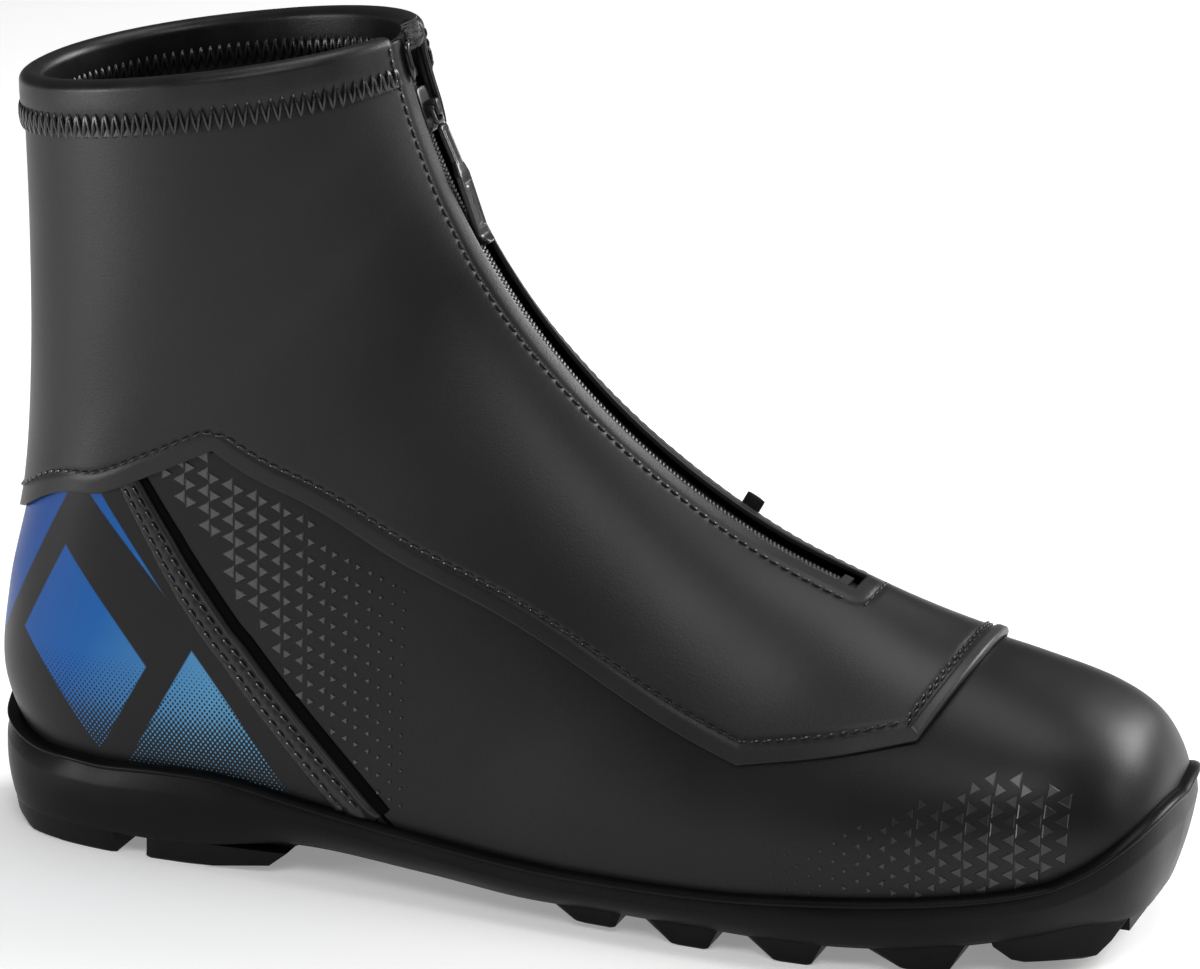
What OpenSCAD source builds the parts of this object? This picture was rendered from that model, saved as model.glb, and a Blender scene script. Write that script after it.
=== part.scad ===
// Cross country boot, right foot: +X toe, -Y outer side, +Z up, millimetres, origin bottom centre.

/* [Overall] */
// Length of the sole from the back of the heel to the front of the nose
sole_length = 305; // [270:1:330]
// Thickness of the moulded vamp and heel panels
panel_wall = 1.4; // [0.8:0.1:1.6]
// Thickness of the soft upper cover
cover_wall = 1.2; // [0.8:0.1:2]
// Thickness of the fleece lining
lining_wall = 1.7; // [1:0.1:2]

/* [Front zip] */
// Radius of the zip line in side view
zip_radius = 173; // [150:1:200]
// Half width of the open slot, as a share of half the girth
slot_share = 0.034; // [0.028:0.002:0.05]
// Angle of the slider centre when the zip is closed
slider_angle = 199.5; // [199:0.5:240]
// Length of the rubber pull
pull_length = 35; // [24:1:40]
// Angle at which the pull stands off the zip
pull_lift = 4.5; // [4:0.5:120]

/* [Sole] */
// Depth of the tread blocks
tread_depth = 5.4; // [4:0.1:6]
// Diameter of the toe bar that clips into the binding
bar_diameter = 3.8; // [3:0.1:4.5]
// Height of the toe bar centre above the ground
bar_height = 9.4; // [9:0.2:10]
// Distance of each guide groove from the middle of the sole
groove_offset = 12; // [9:0.5:16]
// Width of each guide groove
groove_width = 7; // [5:0.5:9]

/* [Smoothness] */
// Steps between two key points along an edge
steps = 3; // [2:1:5]

/* [Hidden] */
half = sole_length / 2;
grow = sole_length / 305;
zip_centre = [276, 245];
zip_x = 276 * grow - half;
zip_z = 12 + (245 - 12) * grow;
zip_r = zip_radius * grow;
$fn = 24;

// A point of the zip line in side view.
function on_zip(angle) = zip_centre + zip_radius * [cos(angle), sin(angle)];

// Rings of the foot form from toe to collar: top x, top z, bottom x, bottom z, outer half width,
// inner half width, share of the height where it is widest, roundness above, squareness below.
stations = [
    [300, 20, 300, 20, 1, 1, 0.5, 2.2, 2.2],
    [302.5, 27, 297, 16.5, 17, 17, 0.55, 2.4, 2.6],
    [302.5, 36, 290, 14.5, 26, 27, 0.6, 2.4, 3.2],
    [300, 46, 280, 13, 33, 34, 0.64, 2.3, 4],
    [294, 54.5, 268, 12, 38, 39, 0.68, 2.3, 5],
    [283, 60.5, 252, 11, 42, 43, 0.7, 2.3, 6],
    [266, 66, 232, 10.3, 44.5, 46, 0.72, 2.1, 6],
    [246, 71.5, 208, 9.8, 45.5, 47, 0.73, 1.95, 6],
    concat(on_zip(253), [182, 9.6, 44.5, 44, 0.74, 1.8, 6]),
    concat(on_zip(245), [152, 10, 42, 40.5, 0.74, 2, 6]),
    concat(on_zip(237), [118, 11.3, 38, 37, 0.72, 2.25, 6]),
    concat(on_zip(228.5), [82, 13.2, 35.5, 35.5, 0.68, 2.25, 6]),
    concat(on_zip(220), [46, 14.3, 34.5, 34.5, 0.63, 2.1, 5]),
    concat(on_zip(213), [17, 16.5, 35, 34.5, 0.57, 2, 3.2]),
    concat(on_zip(207), [3, 34, 36, 35, 0.52, 2, 2.5]),
    concat(on_zip(203.5), [4, 58, 37, 36, 0.5, 2, 2.3]),
    concat(on_zip(200), [10.5, 86, 37.5, 36.5, 0.5, 2, 2.2]),
    concat(on_zip(197.5), [13.5, 117, 38, 37.5, 0.5, 2, 2.2]),
    concat(on_zip(195.5), [14.3, 151, 38, 38, 0.5, 2, 2.2]),
    concat(on_zip(193.2), [13.8, 191, 38, 38.5, 0.5, 2, 2.2])];

// Smooth curve through a list of rows, at position s counted in rows.
function along(rows, s) = let (
    n = len(rows),
    i = max(0, min(floor(s), n - 2)),
    f = s - i,
    b = rows[i],
    c = rows[i + 1],
    a = i == 0 ? 2 * b - c : rows[i - 1],
    d = i == n - 2 ? 2 * c - b : rows[i + 2])
    0.5 * (2 * b + (c - a) * f + (2 * a - 5 * b + 4 * c - d) * f * f
        + (3 * b - a - 3 * c + d) * f * f * f);

// Foot form point: s is the ring number, v the share of the girth (0 top, -1 or 1 bottom or back).
function form(s, v) = let (
    q = along(stations, s),
    w = v - 2 * round(v / 2),
    c = cos(w * 180),
    k = sin(abs(w) * 180),
    n = c >= 0 ? q[7] : q[8],
    r = pow(pow(abs(c), n) + pow(abs(k), n), -1 / n),
    t = c >= 0 ? q[6] * (1 - c * r) : q[6] - (1 - q[6]) * c * r,
    y = (w < 0 ? -q[4] : q[5]) * k * r)
    [(q[0] + (q[2] - q[0]) * t) * grow - half, y * grow, 12 + (q[1] + (q[3] - q[1]) * t - 12) * grow];

// Outward direction of the foot form.
function outward(s, v) = let (
    a = form(s, v + 0.004) - form(s, v - 0.004),
    b = form(min(s + 0.05, 19), v) - form(max(s - 0.05, 0), v),
    n = cross(a, b))
    n / norm(n);

// Point at depth d outside the foot form.
function skin(p, d) = form(p[0], p[1]) + d * outward(p[0], p[1]);

function mix(a, b, t) = a + (b - a) * t;

// Key rows of the outer half, joined to their mirror image on the inner side.
function both(row) = let (n = len(row)) concat(
    [for (p = row) [p[0], -p[1]]],
    [for (i = [n - 2:-1:0]) row[i]]);

// The same, running round the back of the heel instead of over the top.
function both_back(row) = let (n = len(row)) concat(
    [for (p = row) [p[0], p[1] - 2]],
    [for (i = [n - 2:-1:0]) [row[i][0], -row[i][1]]]);

// Fine grid from a grid of key points, m steps per key row and k steps per key column.
function refine(grid, m, k) = let (
    wide = [for (row = grid) [for (j = [0:(len(row) - 1) * k]) along(row, j / k)]])
    [for (i = [0:(len(grid) - 1) * m]) [for (j = [0:len(wide[0]) - 1])
        along([for (row = wide) row[j]], i / m)]];

// Straight steps between the key points of a line.
function stepped(line, k) = concat(
    [for (i = [0:len(line) - 2], j = [0:k - 1]) mix(line[i], line[i + 1], j / k)],
    [line[len(line) - 1]]);

// Closed slab between two grids of points; rows run heelwards and columns towards the inner side.
module slab(outer, inner, round = false) {
    m = len(outer);
    n = len(outer[0]);
    k = m * n;
    last = round ? n - 1 : n - 2;
    points = concat([for (row = outer) each row], [for (row = inner) each row]);
    tops = [for (i = [0:m - 2], j = [0:last]) let (
        a = i * n + j, b = i * n + (j + 1) % n, c = b + n, d = a + n)
        each [[a, c, b], [a, d, c], [k + a, k + b, k + c], [k + a, k + c, k + d]]];
    ends = [for (j = [0:last]) let (a = j, b = (j + 1) % n, c = k - n + j, d = k - n + (j + 1) % n)
        each [[a, b, k + b], [a, k + b, k + a], [c, k + d, d], [c, k + c, k + d]]];
    sides = round ? [] : [for (i = [0:m - 2]) let (a = i * n, b = a + n, c = a + n - 1, d = c + n)
        each [[a, k + a, k + b], [a, k + b, b], [c, k + d, k + c], [c, d, k + d]]];
    polyhedron(points, concat(tops, ends, sides), convexity = 8);
}

// Slab that follows the foot form between two depths.
module shell(grid, low, high, round = false)
    slab([for (row = grid) [for (p = row) skin(p, high)]],
        [for (row = grid) [for (p = row) skin(p, low)]], round);

// Seam between the vamp and the heel panel, from the top down.
seam = [[14.9, 0.55], [13.1, 0.492], [11.9, 0.512], [10.9, 0.6], [10, 0.727], [9.7, 0.8]];

// Vamp keys beside the seam, from the top down and from the seam to the toe.
vamp_keys = [
    [[12.7, 0.34], [10.4, 0.295], [8.3, 0.3], [7, 0.2], [7, 0]],
    [[11.6, 0.42], [9.8, 0.41], [7.6, 0.42], [5.6, 0.3], [5.4, 0]],
    [[10.9, 0.5], [9.3, 0.53], [7, 0.52], [4.4, 0.38], [3.9, 0]],
    [[10.1, 0.6], [8.7, 0.63], [6.4, 0.61], [3.4, 0.45], [2.6, 0]],
    [[9.4, 0.71], [8.2, 0.72], [5.9, 0.7], [2.6, 0.56], [1.3, 0]],
    [[9, 0.8], [7.6, 0.8], [5.2, 0.8], [1.6, 0.72], [0.35, 0]]];

// Heel panel keys beside the seam, from the top down and from the seam to the back.
heel_keys = [
    [[15.35, 0.66], [15.9, 0.82], [16.3, 1]],
    [[13.9, 0.64], [14.8, 0.81], [15.3, 1]],
    [[12.9, 0.64], [13.9, 0.82], [14.5, 1]],
    [[12.1, 0.69], [13.1, 0.84], [13.9, 1]],
    [[11.4, 0.765], [12.6, 0.86], [13.35, 1]],
    [[11.2, 0.81], [12.3, 0.87], [13, 1]]];

// Lower edge of the cover, from the middle of the instep round to the back.
cover_edge = [[6.5, 0], [6.5, 0.14], [6.5, 0.262], [7.2, 0.325], [7.95, 0.377], [9.3, 0.347],
    [10.4, 0.34], [11.5, 0.357], [12.7, 0.38], [13.9, 0.44], [14.7, 0.58], [15.5, 0.72], [15.9, 1]];
// Upper edge: end of the slot, side of the slot, corner of the collar, round to the back.
cover_top = [[8.1, 0], [8.1, slot_share], [9, slot_share], [10.5, slot_share], [12, slot_share],
    [14, slot_share], [16.5, slot_share], [18.9, slot_share], [18.9, 0.15], [18.9, 0.3], [18.9, 0.5],
    [18.9, 0.75], [18.9, 1]];

// Rand: rim ring and girth, featherline ring and girth, lower outline x, y and height, rim width.
rand_keys = [
    [13.8, 1, 13, 1, 2.5, 0, 5.5, 4.2],
    [13.5, 0.87, 12.9, 0.9, 7, -15, 5.5, 3.6],
    [12.9, 0.77, 12.6, 0.84, 18, -26, 5.5, 3],
    [12.4, 0.737, 12.2, 0.81, 37, -31.5, 5.5, 2.8],
    [11.6, 0.702, 11.6, 0.79, 64, -33, 5.5, 2.8],
    [10.9, 0.703, 10.9, 0.78, 92, -33, 9, 2.8],
    [10, 0.707, 9.9, 0.775, 124, -34.5, 6.8, 2.8],
    [9.1, 0.707, 9.1, 0.775, 150, -38, 5.2, 2.8],
    [8.4, 0.7, 8.45, 0.775, 171, -40.5, 5.5, 2.8],
    [7.3, 0.68, 7.45, 0.775, 200, -43, 5.5, 2.8],
    [6.3, 0.648, 6.55, 0.775, 225, -44, 5.5, 2.8],
    [5.25, 0.61, 5.5, 0.775, 250, -42, 7, 2.8],
    [4.3, 0.56, 4.35, 0.77, 271, -36, 9.6, 2.8],
    [3.5, 0.488, 3.4, 0.76, 286, -28.5, 12, 2.8],
    [3, 0.41, 2.4, 0.74, 295, -22, 12.8, 2.8],
    [2.6, 0.26, 1.2, 0.6, 298.5, -13, 13, 2.6],
    [2.3, 0, 0.35, 0, 299, 0, 13, 2.6]];
// Widening of the inner side of the lower outline, at the same keys.
inner_gain = [0, -0.5, -0.5, -0.5, -1, -2, -3, -2, 0, 1, 1.5, 1, 1, -1, -4, -2, 0];

rand_last = len(rand_keys) - 1;
rand_count = rand_last * steps;
// Rand key row at column j, which runs from the heel along the outer side, round the toe and back.
function rand_row(j) = let (
    inner = j > rand_count,
    s = (inner ? 2 * rand_count - j : j) / steps,
    r = along(rand_keys, s),
    g = inner ? along([for (g = inner_gain) [g]], s)[0] : 0,
    side = inner ? 1 : -1)
    [r[0], side * r[1], r[2], side * r[3], r[4], side * (g - r[5]), r[6], r[7]];
function flat(n) = let (m = [n[0], n[1], 0]) m / norm(m);
// One cross section of the rand: outer wall from the rim down, then the inner wall from the rim down.
function rand_section(j) = let (
    r = rand_row(j),
    rim = [r[0], r[1]],
    feather = [r[2], r[3]],
    h = flat(outward(r[0], r[1])),
    p = form(r[0], r[1]),
    f = skin(feather, 0.4),
    low = [r[4] * grow - half, r[5] * grow, r[6]],
    belt = p + r[7] * h - [0, 0, 3.4])
    [[p + 1.9 * h + [0, 0, 0.2], p + (r[7] + 0.2) * h - [0, 0, 1.4], belt, mix(belt, low, 0.5) + 0.9 * h, low],
    [skin(rim, 0.4), skin(mix(rim, feather, 0.33), 0.4), skin(mix(rim, feather, 0.67), 0.4), f,
        [f[0], f[1], low[2]]]];
rand_sections = [for (j = [0:2 * rand_count - 1]) rand_section(j)];

// Plan outlines of the sole: the bottom of the rand, and the featherline pulled in by a margin.
low_outline = [for (s = rand_sections) [s[0][4][0], s[0][4][1]]];
inner_outline = [for (s = rand_sections) let (m = [s[1][4][0] - s[0][4][0], s[1][4][1] - s[0][4][1]])
    [s[1][4][0], s[1][4][1]] + 0.35 * m / norm(m)];
function feather_outline(share, margin) = [for (i = [0:35]) let (
    s = i < 18 ? 13 - 12.2 * i / 17 : 0.8 + 12.2 * (i - 18) / 17,
    side = i < 18 ? -1 : 1,
    p = form(s, side * share),
    n = flat(outward(s, side * share)))
    [p[0] - margin * n[0], p[1] - margin * n[1]]];

// Level of the lasted bottom along the boot: distance from the heel, height.
floor_line = [[4, 17], [17, 16.5], [46, 14.3], [82, 13.2], [118, 11.3], [152, 10], [182, 9.6],
    [208, 9.8], [232, 10.3], [252, 11], [268, 12], [280, 13], [290, 14.5], [299, 17]];
function at_heel(x) = x * grow - half;
// Side view band between two offsets from the floor line.
module floor_band(low, high, first = 0, last = 13)
    rotate([90, 0, 0])
        linear_extrude(120, center = true)
            polygon(concat(
                [for (i = [first:last]) [at_heel(floor_line[i][0]), floor_line[i][1] + low]],
                [for (i = [last:-1:first]) [at_heel(floor_line[i][0]), floor_line[i][1] + high]]));
// Side view outline extruded across the boot.
module side_profile(points)
    rotate([90, 0, 0])
        linear_extrude(120, center = true)
            polygon([for (p = points) [at_heel(p[0]), p[1]]]);

module outsole_plate() color([0.05, 0.05, 0.055]) difference() {
    intersection() {
        translate([0, 0, 4])
            linear_extrude(14)
                polygon(inner_outline);
        side_profile(concat(
            [[2, 5.6], [86, 5.6], [94, 9.2], [124, 7], [150, 5.4], [170, 5.6], [228, 5.6], [250, 7.2],
                [268, 9.7], [279, 12.2]],
            [for (i = [10:-1:0]) [floor_line[i][0], floor_line[i][1] - (i < 2 ? 1.7 : i < 3 ? 1 : 0.4)]]));
    }
    side_profile([[70, 11.9], [118, 9.8], [160, 8.2], [160, 14], [70, 14]]);
}

module sole_rand() color([0.05, 0.05, 0.055])
    slab([for (i = [4:-1:0]) [for (s = rand_sections) s[0][i]]],
        [for (i = [4:-1:0]) [for (s = rand_sections) s[1][i]]], true);

// Tread blocks: side view outline cut by the plan outline.
module tread(outlines) intersection() {
    linear_extrude(13)
        polygon([for (p = low_outline) [p[0], p[1]] * 0.995]);
    for (o = outlines)
        side_profile(o);
}

module heel_tread() color([0.045, 0.045, 0.05])
    tread([[[2, tread_depth - 0.3], [14, 0.5], [24, 0], [42, 0], [42, tread_depth - 0.3]],
        [[50, tread_depth - 0.3], [50, 0], [60, 0], [83, 2], [88, tread_depth - 0.3]]]);

module forefoot_tread() color([0.045, 0.045, 0.05]) difference() {
    tread([[[158, 4.8], [167, 1.5], [175.5, 1.5], [178, tread_depth], [168, tread_depth - 0.2]],
        for (x = [182.5, 208.5]) [[x, tread_depth], [x + 8.5, 0], [x + 17, 0], [x + 20.5, tread_depth]],
        [[235.5, 5.8], [248.5, 1.5], [258, 1.5], [262, 7.9], [250, 6.8]]]);
    for (side = [-1, 1])
        translate([at_heel(220), side * groove_offset, 0])
            cube([150, groove_width, 12], center = true);
}

module toe_block() color([0.045, 0.045, 0.05]) difference() {
    intersection() {
        linear_extrude(12.8)
            polygon([for (p = low_outline) [p[0], p[1]] * 0.995]);
        side_profile([[266.5, 8.6], [273, 4], [294, 5.3], [297, 8], [299, 12.8], [288, 11.9], [271, 9.4]]);
    }
    translate([at_heel(280), -15, -1])
        cube([30, 30, 16]);
    for (side = [-1, 1])
        translate([at_heel(272), side * groove_offset, 0])
            cube([24, groove_width, 16], center = true);
    translate([at_heel(288), 0, bar_height])
        rotate([90, 0, 0])
            cylinder(h = 38.2, d = bar_diameter + 0.1, center = true);
}

module toe_bar() color([0.75, 0.76, 0.78])
    translate([at_heel(288), 0, bar_height])
        rotate([90, 0, 0])
            cylinder(h = 38, d = bar_diameter, center = true);

// Moulded saddle above the bar, between the two cheeks.
module bar_insert() color([0.12, 0.12, 0.13]) difference() {
    translate([at_heel(280.2), -14.9, bar_height - 1.6])
        cube([15, 29.8, 4]);
    translate([at_heel(288), 0, bar_height])
        rotate([90, 0, 0])
            cylinder(h = 40, d = bar_diameter + 0.2, center = true);
    translate([at_heel(288) - 1.4, -16, 0])
        cube([2.8, 32, bar_height]);
}

module shank() color([0.6, 0.61, 0.63]) intersection() {
    translate([at_heel(72), -9, 4])
        cube([86, 18, 12]);
    side_profile([[70, 12.1], [118, 10], [160, 8.4], [160, 9.6], [118, 11.0], [70, 13]]);
}

module lasting_board() color([0.5, 0.42, 0.3]) intersection() {
    translate([0, 0, 5])
        linear_extrude(18)
            polygon(feather_outline(0.8, 6.2));
    floor_band(1.7, 3.4, 1, 12);
}

module footbed() color([0.15, 0.15, 0.16]) intersection() {
    translate([0, 0, 5])
        linear_extrude(22)
            polygon(feather_outline(0.8, 9.5));
    floor_band(3.6, 7.1, 1, 12);
}

module heel_counter() color([0.3, 0.3, 0.31])
    shell(refine([for (row = [
        [[12.1, 0.735], [12.7, 0.795], [13.3, 0.89], [13.7, 1]],
        [[12.2, 0.68], [12.9, 0.76], [13.7, 0.87], [14.1, 1]],
        [[13.2, 0.62], [14, 0.75], [14.8, 0.87], [15.1, 1]]]) both_back(row)], 3, 3), -3.5, -2);

module toe_puff() color([0.3, 0.3, 0.31])
    shell(refine([for (row = [
        [[2.8, 0.66], [2, 0.45], [1.6, 0.2], [1.5, 0]],
        [[3.6, 0.56], [3, 0.38], [2.8, 0.18], [2.7, 0]],
        [[4.8, 0.46], [4.6, 0.3], [4.5, 0.15], [4.4, 0]]]) both(row)], 3, 3), -3.6, -2.2);

// The lining lies deep in the foot and comes up to the cover under the collar band.
function below_top(p) = (19 - p[0]) * 2 * norm(form(19, p[1]) - form(18.5, p[1]));
function lining_depth(p) = 0.1 + 3.7 * max(0, min(1, (below_top(p) - 15) / 11));
lining_low = [[1.7, 0], [2, 0.4], [3, 0.66], [4.6, 0.77], [6.55, 0.79], [8.45, 0.79], [9.9, 0.79],
    [10.9, 0.79], [12, 0.81], [13.1, 0.88], [13.6, 1]];
lining_top = [[8.7, 0], [8.7, 0.125], [9.6, 0.125], [11, 0.125], [13, 0.125], [15.5, 0.125],
    [18.9, 0.125], [18.9, 0.3], [18.9, 0.5], [18.9, 0.75], [18.9, 1]];
// Loop of an edge given for the outer half, from the middle of the back round the outer side.
function loop(edge) = let (e = stepped(edge, steps), n = len(e)) concat(
    [for (i = [n - 1:-1:1]) [e[i][0], -e[i][1]]],
    [for (i = [0:n - 2]) e[i]]);
// Ruled tube of keys between two loops.
function tube(low, top, rows, ease = 1) = let (a = loop(low), b = loop(top))
    [for (i = [0:rows]) [for (j = [0:len(a) - 1]) mix(b[j], a[j], pow(1 - i / rows, ease))]];

module lining() color([0.1, 0.1, 0.105]) let (grid = tube(lining_low, lining_top, 13, 1.7))
    slab([for (row = grid) [for (p = row) skin(p, -lining_depth(p))]],
        [for (row = grid) [for (p = row) skin(p, -lining_depth(p) - lining_wall)]], true);

module tongue() color([0.12, 0.12, 0.125])
    shell([for (i = [0:12]) [for (j = [-4:4]) [9.2 + 9.4 * i / 12, 0.19 * j / 4]]], -8.4, -6.4);

module vamp() color([0.075, 0.075, 0.08])
    shell([for (row = refine([for (i = [5:-1:0])
        both(concat([seam[i] - [0, 0.008]], vamp_keys[i]))], 4, 4)) row], -panel_wall, 0);

module heel_panel() color([0.08, 0.1, 0.14])
    shell(refine([for (i = [5:-1:0])
        both_back(concat([seam[i] + [0, 0.008]], heel_keys[i]))], 3, 3), -panel_wall, 0);

// Raised welt beside the seam, on the heel side.
welt_line = [[14.1, 0.52], [13.1, 0.492], [11.9, 0.512], [10.9, 0.6], [10.4, 0.665]];
module welt(side) color([0.06, 0.06, 0.065])
    shell([for (i = [12:-1:0]) let (p = along(welt_line, i / 4))
        [for (j = [0:3]) [p[0], (side < 0 ? 0.085 - 0.02 * j : 0.025 + 0.02 * j) * side + side * p[1]]]],
        0.15, 1);
module seam_welt_lateral() welt(-1);
module seam_welt_medial() welt(1);

module cover() color([0.07, 0.07, 0.075])
    shell(tube(cover_edge, cover_top, 10), 0.4, 0.4 + cover_wall, true);

module cover_front_band() color([0.09, 0.09, 0.095])
    shell([for (i = [0:2]) [for (j = [-8:8]) [6.52 + 0.16 * i, 0.25 * j / 8]]],
        0.5 + cover_wall, 1.3 + cover_wall);

// Collar band: a folded strip over the top edge, from one side of the zip round to the other.
function down(v, h) = let (rate = norm(form(19, v) - form(18.5, v)) / 0.5) 19 - h / rate;
function band_point(v, d, h) = skin([down(v, max(h, 0)), v], d) + [0, 0, max(-h, 0)];
band_outer = [[2.5, 12], [2.5, 1], [1.6, -1.2], [-1.4, -1.2], [-3, 1], [-3, 12]];
band_inner = [[1.7, 12], [1.7, 1], [1.2, 0], [-0.6, 0], [-2.2, 1], [-2.2, 12]];
// The inner leg starts further from the zip, clear of the tapes.
function band_start(d) = d > 0 ? 0.075 : d > -2 ? 0.1 : 0.125;
function band_row(p) = let (a = band_start(p[0]))
    [for (j = [0:36]) band_point(-2 + a + (2 - 2 * a) * j / 36, p[0], p[1])];
module collar_band() color([0.06, 0.06, 0.065])
    slab([for (p = band_outer) band_row(p)], [for (p = band_inner) band_row(p)]);

module storm_flap() color([0.05, 0.05, 0.05])
    shell([for (i = [0:20]) [for (j = [-3:3]) [7.9 + 10.9 * i / 20, 0.1 * j / 3]]], -3.4, -2.8);

module zip_tape(side) color([0.22, 0.22, 0.23])
    shell([for (i = [0:24]) [for (j = [0:3]) [7.8 + 11 * i / 24,
        side * (side < 0 ? 0.112 - 0.035 * j : 0.007 + 0.035 * j)]]], -2.5, -1.8);
module zip_tape_lateral() zip_tape(-1);
module zip_tape_medial() zip_tape(1);

// Sweep of a cross section (height off the zip line, y) along the zip line between two angles.
module along_zip(first, last)
    translate([zip_x, 0, zip_z])
        rotate([90, 0, 0])
            rotate_extrude(angle = last - first, start = first, $fn = 180)
                children();
// Placement beside the zip line: x down the zip, z away from the foot.
module on_slider(angle, height)
    translate([zip_x + (zip_r - height) * cos(angle), 0, zip_z + (zip_r - height) * sin(angle)])
        rotate([0, 270 - angle, 0])
            children();

module zip_chain() color([0.3, 0.3, 0.31])
    along_zip(197, 250.4)
        translate([zip_r + 0.4, -2])
            square([1.3, 4]);

module zip_bottom_stop() color([0.4, 0.4, 0.42])
    on_slider(251, -1.5)
        translate([-1.2, -2.7, 0])
            cube([2.4, 5.4, 1.5]);

module zip_top_stop() color([0.4, 0.4, 0.42])
    on_slider(196.5, -1.7)
        for (side = [-1, 1])
            translate([-1, side * 2 - 0.7, 0])
                cube([2, 1.4, 1.6]);

module zip_garage() color([0.05, 0.05, 0.055]) {
    along_zip(193.8, 198.5)
        translate([zip_r - 2.7, 5.6])
            circle(1.2, $fn = 16);
    along_zip(193.8, 201.5)
        translate([zip_r - 2.7, -5.6])
            circle(1.2, $fn = 16);
    on_slider(193.8, 2.7)
        rotate([90, 0, 0])
            cylinder(h = 12.6, r = 1.2, center = true);
}

module bar_tack() color([0.05, 0.05, 0.05])
    on_slider(193, 0)
        for (i = [0:3])
            translate([-3 + 1.2 * i, 0, 0.6])
                rotate([90, 0, 0])
                    cylinder(h = 6.4, r = 0.7, center = true, $fn = 12);

module side_tag() color([0.07, 0.07, 0.075])
    translate([at_heel(192.6), 12, 94.8])
        rotate([0, 34, 0])
            cube([3, 4, 3], center = true);

module zip_slider() color([0.12, 0.12, 0.13]) difference() {
    union() {
        along_zip(slider_angle - 1.9, slider_angle + 1.9)
            translate([zip_r - 1.1, -3.1])
                square([1.1, 6.2]);
        for (side = [-1, 1])
            along_zip(slider_angle - 1.9, slider_angle + 1.9)
                translate([zip_r - 1.1, side * 2.75 - 0.35])
                    square([2.5, 0.7]);
        on_slider(slider_angle, 0.2)
            translate([-2.2, -1.1, 0])
                cube([4.4, 2.2, 3.9]);
    }
    on_slider(slider_angle, 2.6)
        rotate([90, 0, 0])
            cylinder(h = 4, r = 1.1, center = true);
}

// Frame of the pull: x along the pull, z away from the foot, origin on the hinge pin.
module on_pull()
    on_slider(slider_angle, 2.6)
        rotate([0, -pull_lift, 0])
            children();

module pull_bail() color([0.12, 0.12, 0.13])
    on_pull() {
        rotate([90, 0, 0])
            cylinder(h = 4.6, r = 0.8, center = true);
        for (side = [-1, 1])
            translate([-0.8, side * 2 - 0.5, -0.7])
                cube([4.4, 1, 1.4]);
        translate([3.2, -2.5, -0.7])
            cube([1.2, 5, 1.4]);
    }

module pull_tab() color([0.07, 0.07, 0.075])
    on_pull() difference() {
        union() {
            translate([4.5, -2.2, -0.8])
                cube([11, 4.4, 1.6]);
            translate([0, 0, -0.9])
                linear_extrude(1.8)
                    polygon([[14, -2.2], [17, -3.1], [pull_length - 3, -3.1], [pull_length, -2.2],
                        [pull_length, 2.2], [pull_length - 3, 3.1], [17, 3.1], [14, 2.2]]);
            translate([pull_length - 1.6, -2.2, -0.9])
                cube([1.6, 4.4, 2.6]);
        }
        translate([19, -2, 0.5])
            cube([pull_length - 24, 4, 1]);
    }

outsole_plate();
sole_rand();
heel_tread();
forefoot_tread();
toe_block();
toe_bar();
bar_insert();
shank();
lasting_board();
footbed();
heel_counter();
toe_puff();
lining();
tongue();
vamp();
heel_panel();
seam_welt_lateral();
seam_welt_medial();
cover();
cover_front_band();
collar_band();
storm_flap();
zip_tape_lateral();
zip_tape_medial();
zip_chain();
zip_bottom_stop();
zip_top_stop();
zip_garage();
bar_tack();
side_tag();
zip_slider();
pull_bail();
pull_tab();
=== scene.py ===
import bpy
import numpy as np
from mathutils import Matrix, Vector


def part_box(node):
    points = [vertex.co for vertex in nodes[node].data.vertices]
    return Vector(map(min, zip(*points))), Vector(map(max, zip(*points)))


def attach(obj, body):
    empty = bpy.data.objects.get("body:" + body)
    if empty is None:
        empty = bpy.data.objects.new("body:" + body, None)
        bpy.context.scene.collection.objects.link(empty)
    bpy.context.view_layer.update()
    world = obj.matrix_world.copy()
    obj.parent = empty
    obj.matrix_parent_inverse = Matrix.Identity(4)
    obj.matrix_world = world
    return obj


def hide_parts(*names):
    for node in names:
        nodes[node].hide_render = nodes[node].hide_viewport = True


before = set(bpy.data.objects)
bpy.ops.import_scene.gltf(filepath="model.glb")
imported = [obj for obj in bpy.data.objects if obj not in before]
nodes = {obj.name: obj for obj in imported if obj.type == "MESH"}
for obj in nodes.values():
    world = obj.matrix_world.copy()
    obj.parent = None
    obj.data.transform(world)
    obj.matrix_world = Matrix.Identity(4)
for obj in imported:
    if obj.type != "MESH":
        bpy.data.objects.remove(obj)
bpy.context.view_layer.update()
MM = 0.001


# ---------------------------------------------------------------- sole core, lugs and toe block
# One black rubber moulding: a core plate under the foot, two heel blocks, four rows of forefoot
# lugs and the block that holds the toe bar. It is pressed in a steel mould and is left matt.
def node(tree, kind, inputs=None, **settings):
    """Adds a shader node; an input is either a plain value or the socket that feeds it."""
    made = tree.nodes.new("ShaderNode" + kind)
    for key, value in settings.items():
        setattr(made, key, value)
    for key, value in (inputs or {}).items():
        if isinstance(value, bpy.types.NodeSocket):
            tree.links.new(value, made.inputs[key])
        else:
            made.inputs[key].default_value = value
    return made


def maths(tree, operation, first, second=0.0):
    """Result socket of one arithmetic step between two values or sockets."""
    return node(tree, "Math", {0: first, 1: second}, operation=operation).outputs[0]


def remap(tree, value, start, end, low, high):
    """Socket that carries a value from start and end to low and high, and holds it beyond both."""
    return node(tree, "MapRange", {0: value, 1: start, 2: end, 3: low, 4: high}).outputs[0]


def blend_colour(tree, shader, share, first, second):
    """Makes the material's colour a blend from first to second by a share."""
    mixed = node(tree, "Mix", {0: share, 6: first, 7: second}, data_type="RGBA")
    tree.links.new(mixed.outputs[2], shader.inputs["Base Color"])


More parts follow.
